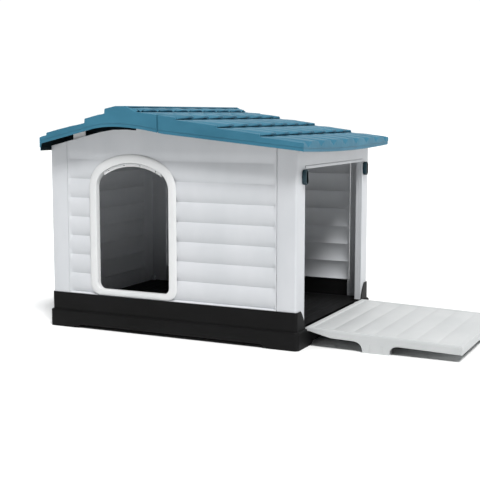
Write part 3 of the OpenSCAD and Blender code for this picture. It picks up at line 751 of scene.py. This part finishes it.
# one half of the roof as an open shell: the tiled top, then the rim drawn down into fascias and a lip
def roofHalf(stations, lipLow):
    bm = bmesh.new()
    eaveX = stations[-1]["plain"][0]
    columns, rows = len(stations) - 1, len(roofDepths) - 1
    placedGrid(bm, columns, rows, lambda i, j: roofPoint(stations[i], roofDepths[j]))
    seamX = stations[0]["x"]
    rim = [e for e in bm.edges if e.is_boundary and not all(abs(v.co.x - seamX) < 1e-5 for v in e.verts)]
    sides = {}                      # each rim point's share of the insets along X and Y, and of the eave
    for v in {v for e in rim for v in e.verts}:
        fromEave, fromEnd = abs(v.co.x - eaveX), min(v.co.y - roofLow.y, roofHigh.y - v.co.y)
        inX, inY = [max(0, 1 - d / roof["cornerRun"]) for d in (fromEave, fromEnd)]
        atEave = 1 - ease(fromEave / roof["eaveBlend"])
        sides[tuple(v.co)] = (-math.copysign(inX, eaveX), -math.copysign(inY, v.co.y), atEave)
    for height, inset in ((roof["bead"], 0), (roof["bead"] - roof["beadIn"], roof["beadIn"]), (0.0, 0)):
        made = bmesh.ops.extrude_edge_only(bm, edges=rim)["geom"]
        moved = {}
        for v in [g for g in made if isinstance(g, bmesh.types.BMVert)]:
            inX, inY, atEave = side = sides[tuple(v.co)]
            low = mix(fasciaLow(v.co.x), lipLow(v.co.y), atEave)
            v.co = Vector((v.co.x + inX * inset, v.co.y + inY * inset, low + height))
            moved[tuple(v.co)] = side
        sides = moved
        rim = [g for g in made if isinstance(g, bmesh.types.BMEdge)]
    faceOut(bm)
    if sum(f.normal.z * f.calc_area() for f in bm.faces) < 0:
        bmesh.ops.reverse_faces(bm, faces=bm.faces)
    return bm


# The roof's inner side gets a near-black copy of the roof plastic. The darkness is painted shade for the
# deep shadow under the roof, and the higher roughness is its unpolished face.
roofPaintedShadeInside = mouldedPolypropylene("unpolished inner side of the roof plastic", dict(
    plasticLooks["roof_plastic"], dark="#0D1A1F", light="#122228", rough=0.75, specular=0.1
))


def thicken(piece):
    wall = piece.modifiers.new("sheet", "SOLIDIFY")
    wall.thickness, wall.offset, wall.use_even_offset = roof["skin"], -1, False
    # the sheet's inner faces take the roof plastic with painted shade
    piece.data.materials.append(roofPaintedShadeInside)
    wall.material_offset = 1


ridgeLeft, ridgeRight = roof["ridgeX"] - roof["ridgeHalf"], roof["ridgeX"] + roof["ridgeHalf"]
firstLow = (capX + courseRun, capZ - rightPitch * courseRun)


def lipLeft(y):
    return roof["leftEave"] - roof["leftLip"]


def lipRight(y):
    t = (y - roofLow.y) / (roofHigh.y - roofLow.y)
    return roof["rightEave"] - roof["rightFascia"] - 4 * roof["rightLipBow"] * t * (1 - t)


# right half: the lower part of the first course, then the others
seamShare = (roof["seam"] - capX) / courseRun
x0, z0 = capX, capZ
stations = [{
    "plain": (roof["seam"], mix(capZ, firstLow[1], seamShare)), "x": roof["seam"],
    "z": mix(capZ, firstLow[1], seamShare), "bottom": 0, "share": 0, "s": seamShare, "way": 1, "deep": 0,
}]
seamSkip = 0.02                     # rows nearer the seam than this share of a course are left out
for k in range(roof["rightCourses"]):
    x1, z1 = x0 + courseRun, z0 - rightPitch * courseRun
    last = k == roof["rightCourses"] - 1
    stations += courseStations(
        x0, z0, x1, z1, 0 if last else roof["rightRiser"],
        skip=seamShare + seamSkip if k == 0 else 0, notch=roof["eaveNotch"] if last else None
    )
    x0, z0 = x1, z1 - roof["rightRiser"]
thicken(addPiece(
    "roofRight", roofHalf(stations, lipRight), "house", ["roof_right"],
    finish["roof_plastic"], sharp=40
))
print("right roof half ready")


# left half: from the seam up to the ridge cap, over it, and down to the left eave
def plainStation(x, z):
    return {"plain": (x, z), "x": x, "z": z, "bottom": z, "share": 0, "s": 0, "way": 0, "deep": 0}


ridgeCap = {
    "lipX": 0.002,                  # how far the cap's edge hangs over the shoulder
    "lip": 0.0055,                  # height of the cap's edge
    "noseX": 0.004,                 # how far the shoulder's tiles hang over the first course
    "nose": 0.0034,                 # height of their edge
    "notch": 0.0055,
    "firstRow": 0.1,                # share of the first course that they cover
}


# a station on the shoulder: at share s of its plain slope, but stepped in the tiled stretch
def shoulderStation(s, x, z, tileShare=0.0):
    plain = (mix(ridgeRight, capX, s), mix(ridgeZ, capZ, s))
    return {
        "plain": plain, "x": x, "z": z, "bottom": z, "share": 0, "s": tileShare,
        "way": 1 if tileShare > 0.9 else 0, "deep": ridgeCap["notch"] * tileShare,
    }


lipX, noseX = ridgeRight + ridgeCap["lipX"], capX + ridgeCap["noseX"]
lipZ, noseZ = ridgeZ - ridgeCap["lip"], capZ + ridgeCap["nose"]
shoulder = [
    shoulderStation(0.02, lipX - 0.0006, ridgeZ - 0.0002),
    shoulderStation(0.04, lipX, ridgeZ - 0.0012),
    shoulderStation(0.06, lipX, mix(ridgeZ, lipZ, 0.7)),
    shoulderStation(0.08, lipX - 0.006, mix(ridgeZ, lipZ, 0.85)),
    shoulderStation(0.10, lipX - 0.006, lipZ),
]
shoulder += [
    shoulderStation(mix(0.1, 0.9, t), mix(lipX, noseX, t), mix(lipZ, noseZ, t), t)
    for t in (0.12, 0.3, 0.5, 0.7, 0.85, 0.95)
]
shoulder += [
    shoulderStation(0.93, noseX, noseZ - 0.0006, 1.0),
    shoulderStation(0.95, noseX, mix(noseZ, capZ, 0.6), 1.0),
    shoulderStation(0.97, noseX - 0.005, mix(noseZ, capZ, 0.9) - 0.0006, 1.0),
    shoulderStation(0.99, noseX - 0.005, capZ - 0.0008, 1.0),
]
for station, share in zip(shoulder[-3:], (0.5, 0.85, 1)):
    station["bottom"], station["share"], station["z"] = capZ - 0.0008, share, noseZ
seamShareLeft = (-roof["seam"] - capX) / courseRun
firstCourse = [
    station for station in courseStations(capX, capZ, *firstLow, roof["rightRiser"])
    if ridgeCap["firstRow"] < station["s"] < seamShareLeft - seamSkip
]
seamZ = mix(capZ, firstLow[1], seamShareLeft)
stations = [plainStation(-roof["seam"], seamZ)] + firstCourse[::-1] + shoulder[::-1]
stations += [plainStation(mix(ridgeRight, ridgeLeft, t), ridgeZ) for t in (0, 0.5, 1)]
x0, z0, stack = ridgeLeft, ridgeZ, sum(s[1] for s in roof["leftSteps"])
for run, riser in roof["leftSteps"][::-1]:
    x1 = roofLeftX + run + roof["riserLean"]
    z1 = roof["leftEave"] + leftPitch * (run + roof["riserLean"]) + stack
    stations += courseStations(x0, z0, x1, z1, riser, skip=roof["leftSkip"][0])
    x0, z0, stack = x1 - roof["riserLean"], z1 - riser, stack - riser
stations += courseStations(
    x0, z0, roofLeftX, roof["leftEave"], 0, skip=roof["leftSkip"][1], notch=roof["leftEaveNotch"]
)
thicken(addPiece(
    "roofLeft", roofHalf(stations, lipLeft), "house", ["roof_left"],
    finish["roof_plastic"], sharp=40
))

# the left half's tongue runs under the seam and behind both fascias
tongue = {
    "half": 0.014,
    "thick": 0.003,
    "gap": 0.0005,                  # under the roof's sheet
    "short": 0.001,                 # how far it stops short of the fascias,
    "behind": 0.0004,               # and its end flaps' gap behind them
    "above": 0.002,                 # the flaps' lower edge, above the fascia's
}
bm = bmesh.new()
under = -sheet - tongue["gap"]
pitched = [(side * tongue["half"], seamZ - rightPitch * side * tongue["half"] + under) for side in (-1, 1)]
outline = pitched + [(x, z - tongue["thick"]) for x, z in pitched[::-1]]
inset = sheet + tongue["short"]
prism(bm, [(x, roofLow.y + inset, z) for x, z in outline], (0, roofHigh.y - roofLow.y - 2 * inset, 0))
inset = sheet + tongue["behind"]
for y in (roofLow.y + inset, roofHigh.y - inset - tongue["thick"]):
    low = (-tongue["half"], y, fasciaLow(0) + tongue["above"])
    block(bm, low, (tongue["half"], y + tongue["thick"], pitched[1][1]))
softEdges(addPiece("roofTongue", bm, "house", [], finish["roof_plastic"]), 0.0006, 2)
print("roof ready")

# base: a two-tier tub on corner feet

base = {
    "flare": 0.010,
    "corner": 0.006,
    "shelf": 0.053,
    "footWidth": 0.095,
    "footSlope": 0.025,
    "footRise": 0.011,
    "ledge": 0.043,                 # top of the low sill in the side opening
    "ledgeIn": 0.011,               # how far the sill runs in from the wall's plane
    "ledgeLap": 0.004,              # and on under the floor's edge
    "horn": 0.032,                  # length of the rim's sweep down to the sill
    "hornBend": (0.008, 0.022),     # middle point of the sweep: out from the opening, down from the rim
    "hornFoot": 0.002,              # its lower end, above the floor
    "pocketIn": 0.021,              # knuckle pockets: in from the hinge axis, width, depth under it
    "pocketWide": 0.027,
    "pocketLow": 0.012,
    "blockIn": 0.010,               # hinge blocks: in from the axis and under it, out from it, width
    "blockOut": 0.009,
    "blockWide": (0.001, 0.017),    # from the opening's edge
    "cutReach": 0.05,               # how far the cutting tools reach past the tub
    "hornIn": 0.008,                # how far the sweep is cut in from the wall's plane
    "pocketOut": 0.003,             # and the pockets out from it
    "rib": 0.0025,
    "ribLow": 0.014,
    "ribMargin": 0.061,
    "ribEnd": 0.005,                # how far the ribs run past the walls' planes
    "ribColumns": 3,                # ribs to each side of the middle one
    "ribRows": 2,
    "lap": 0.001,                   # how far ribs and treads sink into what they meet
    "pads": (0.054, 0.004),         # inner and outer edges, in from the walls' planes
    "padThick": 0.004,
    "innerRim": 0.0033,             # the rims inside the front and back panels, in from the walls' planes
    "innerRimShort": 0.0063,
    "middlePad": 0.030,
    "tread": (0.008, 0.001, 0.036), # floor ribs: width, height, spacing
    "treads": 10,                   # to each side of the middle one
    "treadEnd": 0.04,
}
tubSection = [                      # offset from the walls' planes, height
    (0.0066, 0.050), (0.0066, 0.0001), (0.0093, 0.0), (0.0100, 0.0009), (0.0100, 0.0485),
    (0.0096, 0.0506), (0.0086, 0.0523), (0.0070, 0.0530), (0.0052, 0.0529), (0.0048, 0.0520),
    (0.0041, 0.0519), (0.0036, 0.0532), (0.0033, 0.0550), (0.0033, 0.1064), (0.0029, 0.1080),
    (0.0018, 0.1090), (0.0009, 0.1086), (0.0003, 0.1075), (0.0003, 0.0580), (-0.0004, 0.0564),
    (-0.0014, 0.0560),
]
bm = bmesh.new()
loft(bm, [
    [(x, y, z) for x, y in roundRect(wallRight + d, wallBack + d, base["corner"] + 0.8 * d, 8)]
    for d, z in tubSection
])
knife = bmesh.new()


# the gap between two corner feet along a side, as an outline to cut
def footGap(half):
    inner = half - base["footWidth"] + base["flare"]
    top = inner - base["footSlope"]
    right = [(top, base["footRise"]), (inner, 0.0), (inner, -over)]
    return [(-x, z) for x, z in right[::-1]] + right


over = base["cutReach"]
reach = wallBack + over
prism(knife, [(x, -reach, z) for x, z in footGap(wallRight)], (0, 2 * reach, 0))
bm = cutOut(bm, knife)
knife = bmesh.new()
reach = wallRight + over
prism(knife, [(-reach, y, z) for y, z in footGap(wallBack)], (2 * reach, 0, 0))
bm = cutOut(bm, knife)
knife = bmesh.new()
sillX = wallRight - base["ledgeIn"]
block(knife, (sillX, -openHalf, base["ledge"]), (wallRight + over, openHalf, rimTop + over))
bm = cutOut(bm, knife)
bendOut, bendDown = base["hornBend"]
hornEnd = openHalf + base["horn"]
sweep = bend(
    (hornEnd, rimTop), (openHalf + bendOut, rimTop - bendDown), (openHalf, floorTop + base["hornFoot"]), 8
)
hornCut = [(openHalf - sheet, floorTop), (openHalf - sheet, rimTop + over), (hornEnd, rimTop + over)] + sweep
for side in (-1, 1):
    knife = bmesh.new()
    prism(knife, [(wallRight - base["hornIn"], side * y, z) for y, z in hornCut], (over, 0, 0))
    bm = cutOut(bm, knife)
    knife = bmesh.new()
    pocketX = hinge.x - base["pocketIn"]
    yIn, yOut = sorted((side * (openHalf - base["pocketWide"]), side * openHalf))
    low = (pocketX, yIn, hinge.z - base["pocketLow"])
    block(knife, low, (wallRight + base["pocketOut"], yOut, rimTop))
    bm = cutOut(bm, knife)
addPiece("baseTub", bm, "house", ["base_tub"], finish["base_plastic"], sharp=30)

# ledge of the side opening, hinge blocks, floor treads, ribs and pads
bm = bmesh.new()
lap, pocket, under = base["lap"], base["pocketWide"], base["ledge"] - sheet
ledgeX, panelSeat = sillX - base["ledgeLap"], floorTop - lap / 2
block(bm, (ledgeX, -openHalf, under), (wallRight + base["flare"] - lap, openHalf, base["ledge"]))
block(bm, (ledgeX, -openHalf + pocket, under), (sillX, openHalf - pocket, panelSeat))
for side in (-1, 1):
    y0, y1 = sorted(side * (openHalf + d) for d in base["blockWide"])
    low = (hinge.x - base["blockIn"], y0, hinge.z - base["blockIn"])
    block(bm, low, (hinge.x + base["blockOut"], y1, base["shelf"]))
for side in (-1, 1):
    y0, y1 = sorted((side * (wallBack - base["innerRim"]), side * (wallBack - base["innerRim"] - sheet)))
    reach = panelHalf - base["innerRimShort"]
    block(bm, (-reach, y0, panelSeat), (reach, y1, rimTop))
treadWide, treadHigh, treadStep = base["tread"]
reach = wallBack - base["treadEnd"]
for k in range(-base["treads"], base["treads"] + 1):
    x = k * treadStep
    block(bm, (x - treadWide / 2, -reach, floorTop - lap), (x + treadWide / 2, reach, floorTop + treadHigh))
halfRib, ribTop, ribEnd = base["rib"] / 2, base["shelf"] - lap, base["ribEnd"]
for k in range(-base["ribColumns"], base["ribColumns"] + 1):
    x = k * (wallRight - base["ribMargin"]) / base["ribColumns"]
    block(bm, (x - halfRib, wallFront - ribEnd, base["ribLow"]), (x + halfRib, wallBack + ribEnd, ribTop))
for k in range(-base["ribRows"], base["ribRows"] + 1):
    y = k * (wallBack - base["ribMargin"]) / base["ribRows"]
    block(bm, (wallLeft - ribEnd, y - halfRib, base["ribLow"]), (wallRight + ribEnd, y + halfRib, ribTop))
pad = bmesh.ops.create_cone(
    bm, cap_ends=True, segments=40, radius1=base["middlePad"], radius2=base["middlePad"],
    depth=base["padThick"]
)["verts"]
bmesh.ops.translate(bm, verts=pad, vec=(0, 0, base["padThick"] / 2))
for sx in (-1, 1):
    for sy in (-1, 1):
        x0, x1 = sorted(sx * (wallRight - d) for d in base["pads"])
        y0, y1 = sorted(sy * (wallBack - d) for d in base["pads"])
        block(bm, (x0, y0, 0.0), (x1, y1, base["padThick"]))
inside = addPiece("baseInside", bm, "house", [], finish["base_plastic"], merge=0)
softEdges(inside, 0.0006, 2)
print("base ready")

# drain plug with a pull ring

plugLow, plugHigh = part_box("drain_plug")
plugX, plugY = (plugLow.x + plugHigh.x) / 2, (plugLow.y + plugHigh.y) / 2
plug = {
    "flange": (plugHigh.x - plugLow.x) / 2,
    "shank": 0.0138,
    "shankEdge": (0.001, 0.0012),   # its lower edge's chamfer: width, height
    "flangeThick": 0.003,
    "rim": [(0.0006, 0), (0, 0.0008), (0.0004, 0.002), (0.0018, 0.003), (0.006, 0.003)],   # in, up
    "dish": (0.007, 0.0007),        # the flange's sunk middle: in from its edge, depth
    "pull": 0.0075,
    "pullThick": 0.0038,
    "pullSink": 0.001,
    "pullSection": (0.0013, 0.0011, 0.9),   # half height, corner, and how much flatter it is on top
}
shank, flange, plugTop = plug["shank"], plug["flange"], floorTop + plug["flangeThick"]
chamferWide, chamferHigh = plug["shankEdge"]
dishIn, dishDeep = plug["dish"]
profile = [(0, plugLow.z), (shank - chamferWide, plugLow.z)]
profile += [(shank, plugLow.z + chamferHigh), (shank, floorTop)]
profile += [(flange - d, floorTop + up) for d, up in plug["rim"]]
profile += [(flange - dishIn, plugTop - dishDeep), (0, plugTop - dishDeep)]
bm = bmesh.new()
line = [bm.verts.new((plugX + r, plugY, z)) for r, z in profile]
edges = [bm.edges.new(pair) for pair in zip(line, line[1:])]
bmesh.ops.spin(
    bm, geom=line + edges, cent=(plugX, plugY, 0), axis=(0, 0, 1), angle=math.tau, steps=40, use_merge=True
)
ringZ = plugTop - plug["pullSink"]
halfHigh, corner, flatter = plug["pullSection"]
sections = []
for x, z in arc(plugX, ringZ, plug["pull"], 0, 180, 16):
    turn = math.atan2(z - ringZ, x - plugX)
    sections.append([
        (x + r * math.cos(turn), plugY + d, z + r * math.sin(turn) * flatter)
        for r, d in roundRect(halfHigh, plug["pullThick"] / 2, corner, 2)
    ])
loft(bm, sections)
addPiece("drainPlug", bm, "drain_plug", ["drain_plug"], finish["latch_plastic"])
print("drain plug ready")

# terrace: a louvred panel on two hinge knuckles, with two feet

terrace = {
    "inner": 0.0145,                # inner end, out from the hinge axis
    "outer": headerLow - 0.002 - hinge.z,
    "half": openHalf - 0.002,
    "top": 0.0165,                  # walking face above the hinge axis
    "deep": 0.024,
    "thin": 0.011,
    "thinTo": (0.024, 0.090),       # where the skirt starts to deepen and where it is full
    "border": 0.014,
    "borderRows": (0.0022, 0.0012, 0.0004),   # rows where the border turns down to the boards
    "borderDrop": 0.0012,
    "boards": 7,
    "groove": 0.0028,
    "wave": (2.4, 0.008),           # how square the boards are, and the run over which they begin
    "sideRows": (0.004, 0.010),     # rows beside the border, then evenly spaced ones
    "middleRows": 8,
    "skin": 0.0027,
    "skirtBend": 0.35,              # share of the skirt's height where it has a row
    "shares": [0, 0.03, 0.09, 0.2, 0.35, 0.5, 0.65, 0.8, 0.91, 0.97],
    "knuckle": (0.007, 0.00405, 0.022),   # outer radius, bore radius, width
    "knuckleEdge": (0.0006, 0.0002),      # rounding outside, and the bore's mouth
    "web": (106, 18, 0.0008),       # where the arm leaves the knuckle, in degrees, and its sink
    "webMiddle": (0.0053, 0.0046),
    "ribs": 5,                      # cells between the ribs, each way
    "rib": 0.003,
    "ribTop": 0.0112,
    "ribIn": 0.002,
}
outerEdge = [0, 0.0006, 0.0014, 0.003]
edgeDrop = {0: 0.0016, 1: 0.0006, 2: 0.0001}    # how far the first rows lie below the face
fieldIn = terrace["border"]
borderRows = [fieldIn - d for d in terrace["borderRows"]]
boardRun = (terrace["outer"] - terrace["inner"] - 2 * fieldIn) / terrace["boards"]
fieldFrom = terrace["inner"] + fieldIn
rowsU = [terrace["inner"] + d for d in outerEdge + borderRows]
rowsU += [fieldFrom + (k + s) * boardRun for k in range(terrace["boards"]) for s in terrace["shares"]]
rowsU += [terrace["outer"] - d for d in (outerEdge + borderRows + [fieldIn])[::-1]]
rowsY = [
    d - terrace["half"]
    for d in outerEdge + borderRows + [fieldIn] + [fieldIn + d for d in terrace["sideRows"]]
]
middleRows = terrace["middleRows"]
rowsY += (
    [mix(rowsY[-1], -rowsY[-1], i / middleRows) for i in range(1, middleRows)] + [-y for y in rowsY[::-1]]
)


def deckHeight(u, y):
    fromEdge = min(u - terrace["inner"], terrace["outer"] - u, terrace["half"] - abs(y))
    near = min(range(4), key=lambda i: abs(outerEdge[i] - fromEdge))
    drop = edgeDrop.get(near, 0)
    turnRun = terrace["borderRows"][0]
    sunk = ease((fromEdge - fieldIn + turnRun) / turnRun)
    share = ((u - fieldFrom) / boardRun) % 1
    power, run = terrace["wave"]
    wave = abs((share - 0.5) / 0.5) ** power * ease((terrace["half"] - fieldIn - abs(y)) / run)
    return terrace["top"] - drop - sunk * (terrace["borderDrop"] + terrace["groove"] * wave)


def skirtLow(u):
    t = (u - terrace["thinTo"][0]) / (terrace["thinTo"][1] - terrace["thinTo"][0])
    return terrace["top"] - mix(terrace["thin"], terrace["deep"], min(max(t, 0), 1))


# lays what is drawn flat about the hinge axis down to the open terrace's slope
def layTerrace(bm):
    bmesh.ops.rotate(bm, verts=bm.verts, cent=(0, 0, 0), matrix=Matrix.Rotation(terraceSlope, 3, "Y"))
    bmesh.ops.translate(bm, verts=bm.verts, vec=hinge)
    return bm


bm = bmesh.new()
placedGrid(
    bm, len(rowsU) - 1, len(rowsY) - 1,
    lambda i, j: Vector((rowsU[i], rowsY[j], deckHeight(rowsU[i], rowsY[j])))
)
for drop in (terrace["skirtBend"], 1):
    made = bmesh.ops.extrude_edge_only(bm, edges=[e for e in bm.edges if e.is_boundary])["geom"]
    for v in [g for g in made if isinstance(g, bmesh.types.BMVert)]:
        v.co.z = mix(terrace["top"], skirtLow(v.co.x), drop)
faceOut(bm)
if sum(f.normal.z * f.calc_area() for f in bm.faces) < 0:
    bmesh.ops.reverse_faces(bm, faces=bm.faces)
bmesh.ops.solidify(bm, geom=bm.faces, thickness=terrace["skin"])
addPiece(
    "terraceDeck", layTerrace(bm), "terrace", ["terrace"], finish["terrace_plastic"],
    sharp=32
)

bm = bmesh.new()
cell = (terrace["outer"] - terrace["inner"]) / terrace["ribs"]
halfRib, ribTop, reach = terrace["rib"] / 2, terrace["ribTop"], terrace["half"] - terrace["ribIn"]
u0, u1 = terrace["inner"] + terrace["ribIn"], terrace["outer"] - terrace["ribIn"]
under = [(u0, ribTop)] + [(u, skirtLow(u)) for u in (u0, *terrace["thinTo"], u1)] + [(u1, ribTop)]
for k in range(1, terrace["ribs"]):
    u, low = terrace["inner"] + k * cell, skirtLow(terrace["inner"] + k * cell)
    across = [(u - halfRib, low), (u + halfRib, low), (u + halfRib, ribTop), (u - halfRib, ribTop)]
    prism(bm, [(x, -reach, z) for x, z in across], (0, 2 * reach, 0))
    y = -terrace["half"] + k * 2 * terrace["half"] / terrace["ribs"]
    prism(bm, [(x, y - halfRib, z) for x, z in under], (0, terrace["rib"], 0))
outR, boreR, wide = terrace["knuckle"]
soft, mouth = terrace["knuckleEdge"]
topTurn, lowTurn, sink = terrace["web"]
armTop, armLow = [
    ((outR - sink) * math.cos(math.radians(turn)), (outR - sink) * math.sin(math.radians(turn)))
    for turn in (topTurn, lowTurn)
]
armEnd = terrace["inner"] + 0.001   # inside the deck's inner wall
arm = [
    armTop, (armEnd, terrace["top"] - 0.001), (armEnd, terrace["top"] - terrace["thin"]), armLow,
    terrace["webMiddle"],
]
for side in (-1, 1):
    yOut, yIn = side * terrace["half"], side * (terrace["half"] - wide)
    rings = [
        (outR - soft, yOut), (outR, yOut - side * soft), (outR, yIn + side * soft), (outR - soft, yIn),
        (boreR, yIn + side * mouth), (boreR, yOut - side * mouth),
    ]
    loft(bm, [[(x, y, z) for x, z in arc(0, 0, r, 0, 360, 40)[:-1]] for r, y in rings], "join")
    prism(bm, [(u, yIn + side * sink / 2, w) for u, w in arm], (0, side * (wide - sink), 0))
ribs = addPiece(
    "terraceRibs", layTerrace(bm), "terrace", [], finish["terrace_plastic"], merge=0
)
softEdges(ribs, 0.0005, 2)

foot = {
    "from": 0.185,
    "length": 0.078,
    "deep": 0.026,
    "gusset": 0.030,
    "skin": 0.003,
    "lap": 0.9,                     # share of the skin's thickness where the foot's block starts
    "play": 0.0002,                 # gap under the deck
    "fluteAt": (0.26, 0.74),        # the two upright flutes in a foot's face
    "flute": 0.0022,
    "fluteDeep": 0.0012,
    "fluteEnds": (0.002, 0.004),    # above the ground, and below the deck
}


# height of the open terrace's skirt above the ground, at u from the hinge along X
def skirtGround(u):
    low = terrace["top"] - terrace["deep"]
    along = u - low * math.sin(terraceSlope)
    return hinge.z + low / math.cos(terraceSlope) - along * math.tan(terraceSlope)


feet = (("terraceFootFront", "terrace_foot_front", -1), ("terraceFootBack", "terrace_foot_back", 1))
for name, node, side in feet:
    a, b, g = foot["from"], foot["from"] + foot["length"], foot["gusset"]
    outline = bend((a - g, skirtGround(a - g)), (a, skirtGround(a)), (a, 0.0), 8)
    outline += bend((b, 0.0), (b, skirtGround(b)), (b + g, skirtGround(b + g)), 8)
    bm = bmesh.new()
    face = side * terrace["half"]
    prism(bm, [(hinge.x + u, face, z) for u, z in outline], (0, -side * foot["skin"], 0))
    y0, y1 = sorted((face - side * foot["skin"] * foot["lap"], face - side * foot["deep"]))
    block(bm, (hinge.x + a, y0, 0.0), (hinge.x + b, y1, skirtGround(b) - foot["play"]))
    knife = bmesh.new()
    half, deep = foot["flute"] / 2, foot["fluteDeep"]
    fluteLow, fluteShort = foot["fluteEnds"]
    for u in [a + foot["length"] * share for share in foot["fluteAt"]]:
        high = (hinge.x + u + half, face + deep, skirtGround(u) - fluteShort)
        block(knife, (hinge.x + u - half, face - deep, fluteLow), high)
    bm = cutOut(bm, knife)
    softEdges(addPiece(name, bm, "terrace", [node], finish["terrace_plastic"]), 0.0008, 2)
print("terrace ready")

# latches: oval turn knobs on spindles

knob = {
    "long": 0.044,
    "wide": 0.020,
    "round": 0.0032,
    "foot": 0.0007,                 # rounding of the edge towards the post
    "dish": ((0.0, 0.0006), (-0.0009, 0.0014)),     # the face's sunk middle: height, further inset
    "grip": ((-0.002, 0), (-0.0005, 0), (-0.0001, 0.0006), (0.0, 0.0014)),  # a bar along it: height, inset
    "gripWide": 0.0065,
    "gripCorner": 0.0016,
    "disc": 0.011,
    "collar": ((0.0, 0.0), (0.0055, 0.0), (0.0068, 0.0012)),    # height, inset
}


def ovalRing(x, y, z, shrink, n=12):
    r = knob["wide"] / 2 - shrink
    half = (knob["long"] - knob["wide"]) / 2
    top = arc(0, half, r, 0, 180, n)
    low = arc(0, -half, r, 180, 360, n)
    return [(x, y + p, z + q) for p, q in top + low]


halfWide, halfLong = knob["gripWide"] / 2, (knob["long"] - knob["wide"]) / 2
for name, node, body in (
    ("latchKnobFront", "latch_knob_front", "latch_front"), ("latchKnobBack", "latch_knob_back", "latch_back")
):
    low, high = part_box(node)
    y, z = (low.y + high.y) / 2, (low.z + high.z) / 2
    r = knob["round"]
    turns = [math.radians(t) for t in (0, 18, 36, 54, 72, 90)]
    levels = [(low.x, knob["foot"]), (low.x + knob["foot"], 0.0)]
    levels += [(high.x - r + r * math.sin(t), r - r * math.cos(t)) for t in turns]
    levels += [(high.x + up, r + inset) for up, inset in knob["dish"]]
    bm = bmesh.new()
    loft(bm, [ovalRing(x, y, z, shrink) for x, shrink in levels])
    grip = []
    for up, inset in knob["grip"]:
        ring = roundRect(halfWide - inset, halfLong - inset, knob["gripCorner"], 4)
        grip.append([(high.x + up, y + p, z + q) for p, q in ring])
    loft(bm, grip)
    collar = []
    for up, inset in knob["collar"]:
        ring = arc(0, 0, knob["disc"] - inset, 0, 360, 36)[:-1]
        collar.append([(low.x + up, y + p, z + q) for p, q in ring])
    loft(bm, collar)
    addPiece(name, bm, body, [node], finish["latch_plastic"])
print("latches ready")

# the frame's own fasteners and clips, in their finishes

carried = {
    "base_screws": "zinc_steel",
    "hinge_pin_front": "zinc_steel",
    "hinge_pin_back": "zinc_steel",
    "roof_clips": "trim_plastic",
    "latch_spindle_front": "latch_plastic",
    "latch_spindle_back": "latch_plastic",
}
for node, slot in carried.items():
    materials = frame["nodes"][node].data.materials
    materials.clear()
    materials.append(finish[slot])

# stage, light and camera

stageLook = {
    "size": 30,
    "floor": "#FAFBFB",
    "sky": "#FFFFFF",
    "dim": 0.16,                    # strength of the studio's dim side
    "backdrop": 1.05,               # and of its lit backdrop
    "turnAt": (0.1, 0.75),          # over which the one turns into the other, along +Y
}
bm = bmesh.new()
bmesh.ops.create_grid(bm, x_segments=1, y_segments=1, size=stageLook["size"])
mesh = bpy.data.meshes.new("floor")
bm.to_mesh(mesh)
bm.free()
floor = bpy.data.objects.new("floor", mesh)
bpy.context.scene.collection.objects.link(floor)
floor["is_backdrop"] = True
material, tree = newMaterial("pale studio floor")
place = addNode(tree, "ShaderNodeTexCoord")
dust = addNode(tree, "ShaderNodeTexNoise", {"Scale": 3.0, "Detail": 2.0}, {"Vector": (place, "Object")})
gloss = addNode(tree, "ShaderNodeMapRange", {"To Min": 0.7, "To Max": 0.8}, {"Value": (dust, "Fac")})
surface = addNode(
    tree, "ShaderNodeBsdfPrincipled",
    {"Base Color": hexLinear(stageLook["floor"]), "Specular IOR Level": 0.2},
    {"Roughness": (gloss, "Result")}
)
addNode(tree, "ShaderNodeOutputMaterial", links={"Surface": (surface, "BSDF")})
floor.data.materials.append(material)

world = bpy.data.worlds.new("studio")
bpy.context.scene.world = world
world.use_nodes = True
tree = world.node_tree
tree.nodes.clear()
toward = addNode(tree, "ShaderNodeTexCoord")
parts = addNode(tree, "ShaderNodeSeparateXYZ", links={"Vector": (toward, "Generated")})
strength = addNode(tree, "ShaderNodeMapRange", {
    "From Min": stageLook["turnAt"][0], "From Max": stageLook["turnAt"][1],
    "To Min": stageLook["dim"], "To Max": stageLook["backdrop"],
}, {"Value": (parts, "Y")})
sky = addNode(
    tree, "ShaderNodeBackground", {"Color": hexLinear(stageLook["sky"])}, {"Strength": (strength, "Result")}
)
addNode(tree, "ShaderNodeOutputWorld", links={"Surface": (sky, "Background")})

softLights = {                      # where it shines from, strength, width of its disc in degrees, colour
    "key": ((2.0, -2.0, 4.2), 3.25, 16, (1.0, 0.995, 0.985)),
    "top": ((-2.4, -1.2, 4.4), 0.5, 50, (0.98, 0.99, 1)),
}
for name, (at, power, wide, colour) in softLights.items():
    light = bpy.data.lights.new(name, "SUN")
    light.energy, light.angle, light.color = power, math.radians(wide), colour
    lamp = bpy.data.objects.new(name, light)
    bpy.context.scene.collection.objects.link(lamp)
    lamp.location = at
    lamp.rotation_euler = (-Vector(at)).to_track_quat("-Z", "Y").to_euler()

view = {"lens": 75.46, "at": (1.4875, -2.8765, 0.6647), "yaw": 25.88, "pitch": 7.14}
camera = bpy.data.cameras.new("camera")
camera.lens, camera.sensor_width = view["lens"], 36
camera.clip_start, camera.clip_end = 0.05, 60
eye = bpy.data.objects.new("camera", camera)
bpy.context.scene.collection.objects.link(eye)
eye.location = view["at"]
eye.rotation_euler = (math.radians(90 - view["pitch"]), 0, math.radians(view["yaw"]))
bpy.context.scene.camera = eye
bpy.context.scene.view_settings.view_transform = "Standard"
print("stage ready")

low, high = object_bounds()
{"cad": [list(cadLow), list(cadHigh)], "visual": [list(low), list(high)]}
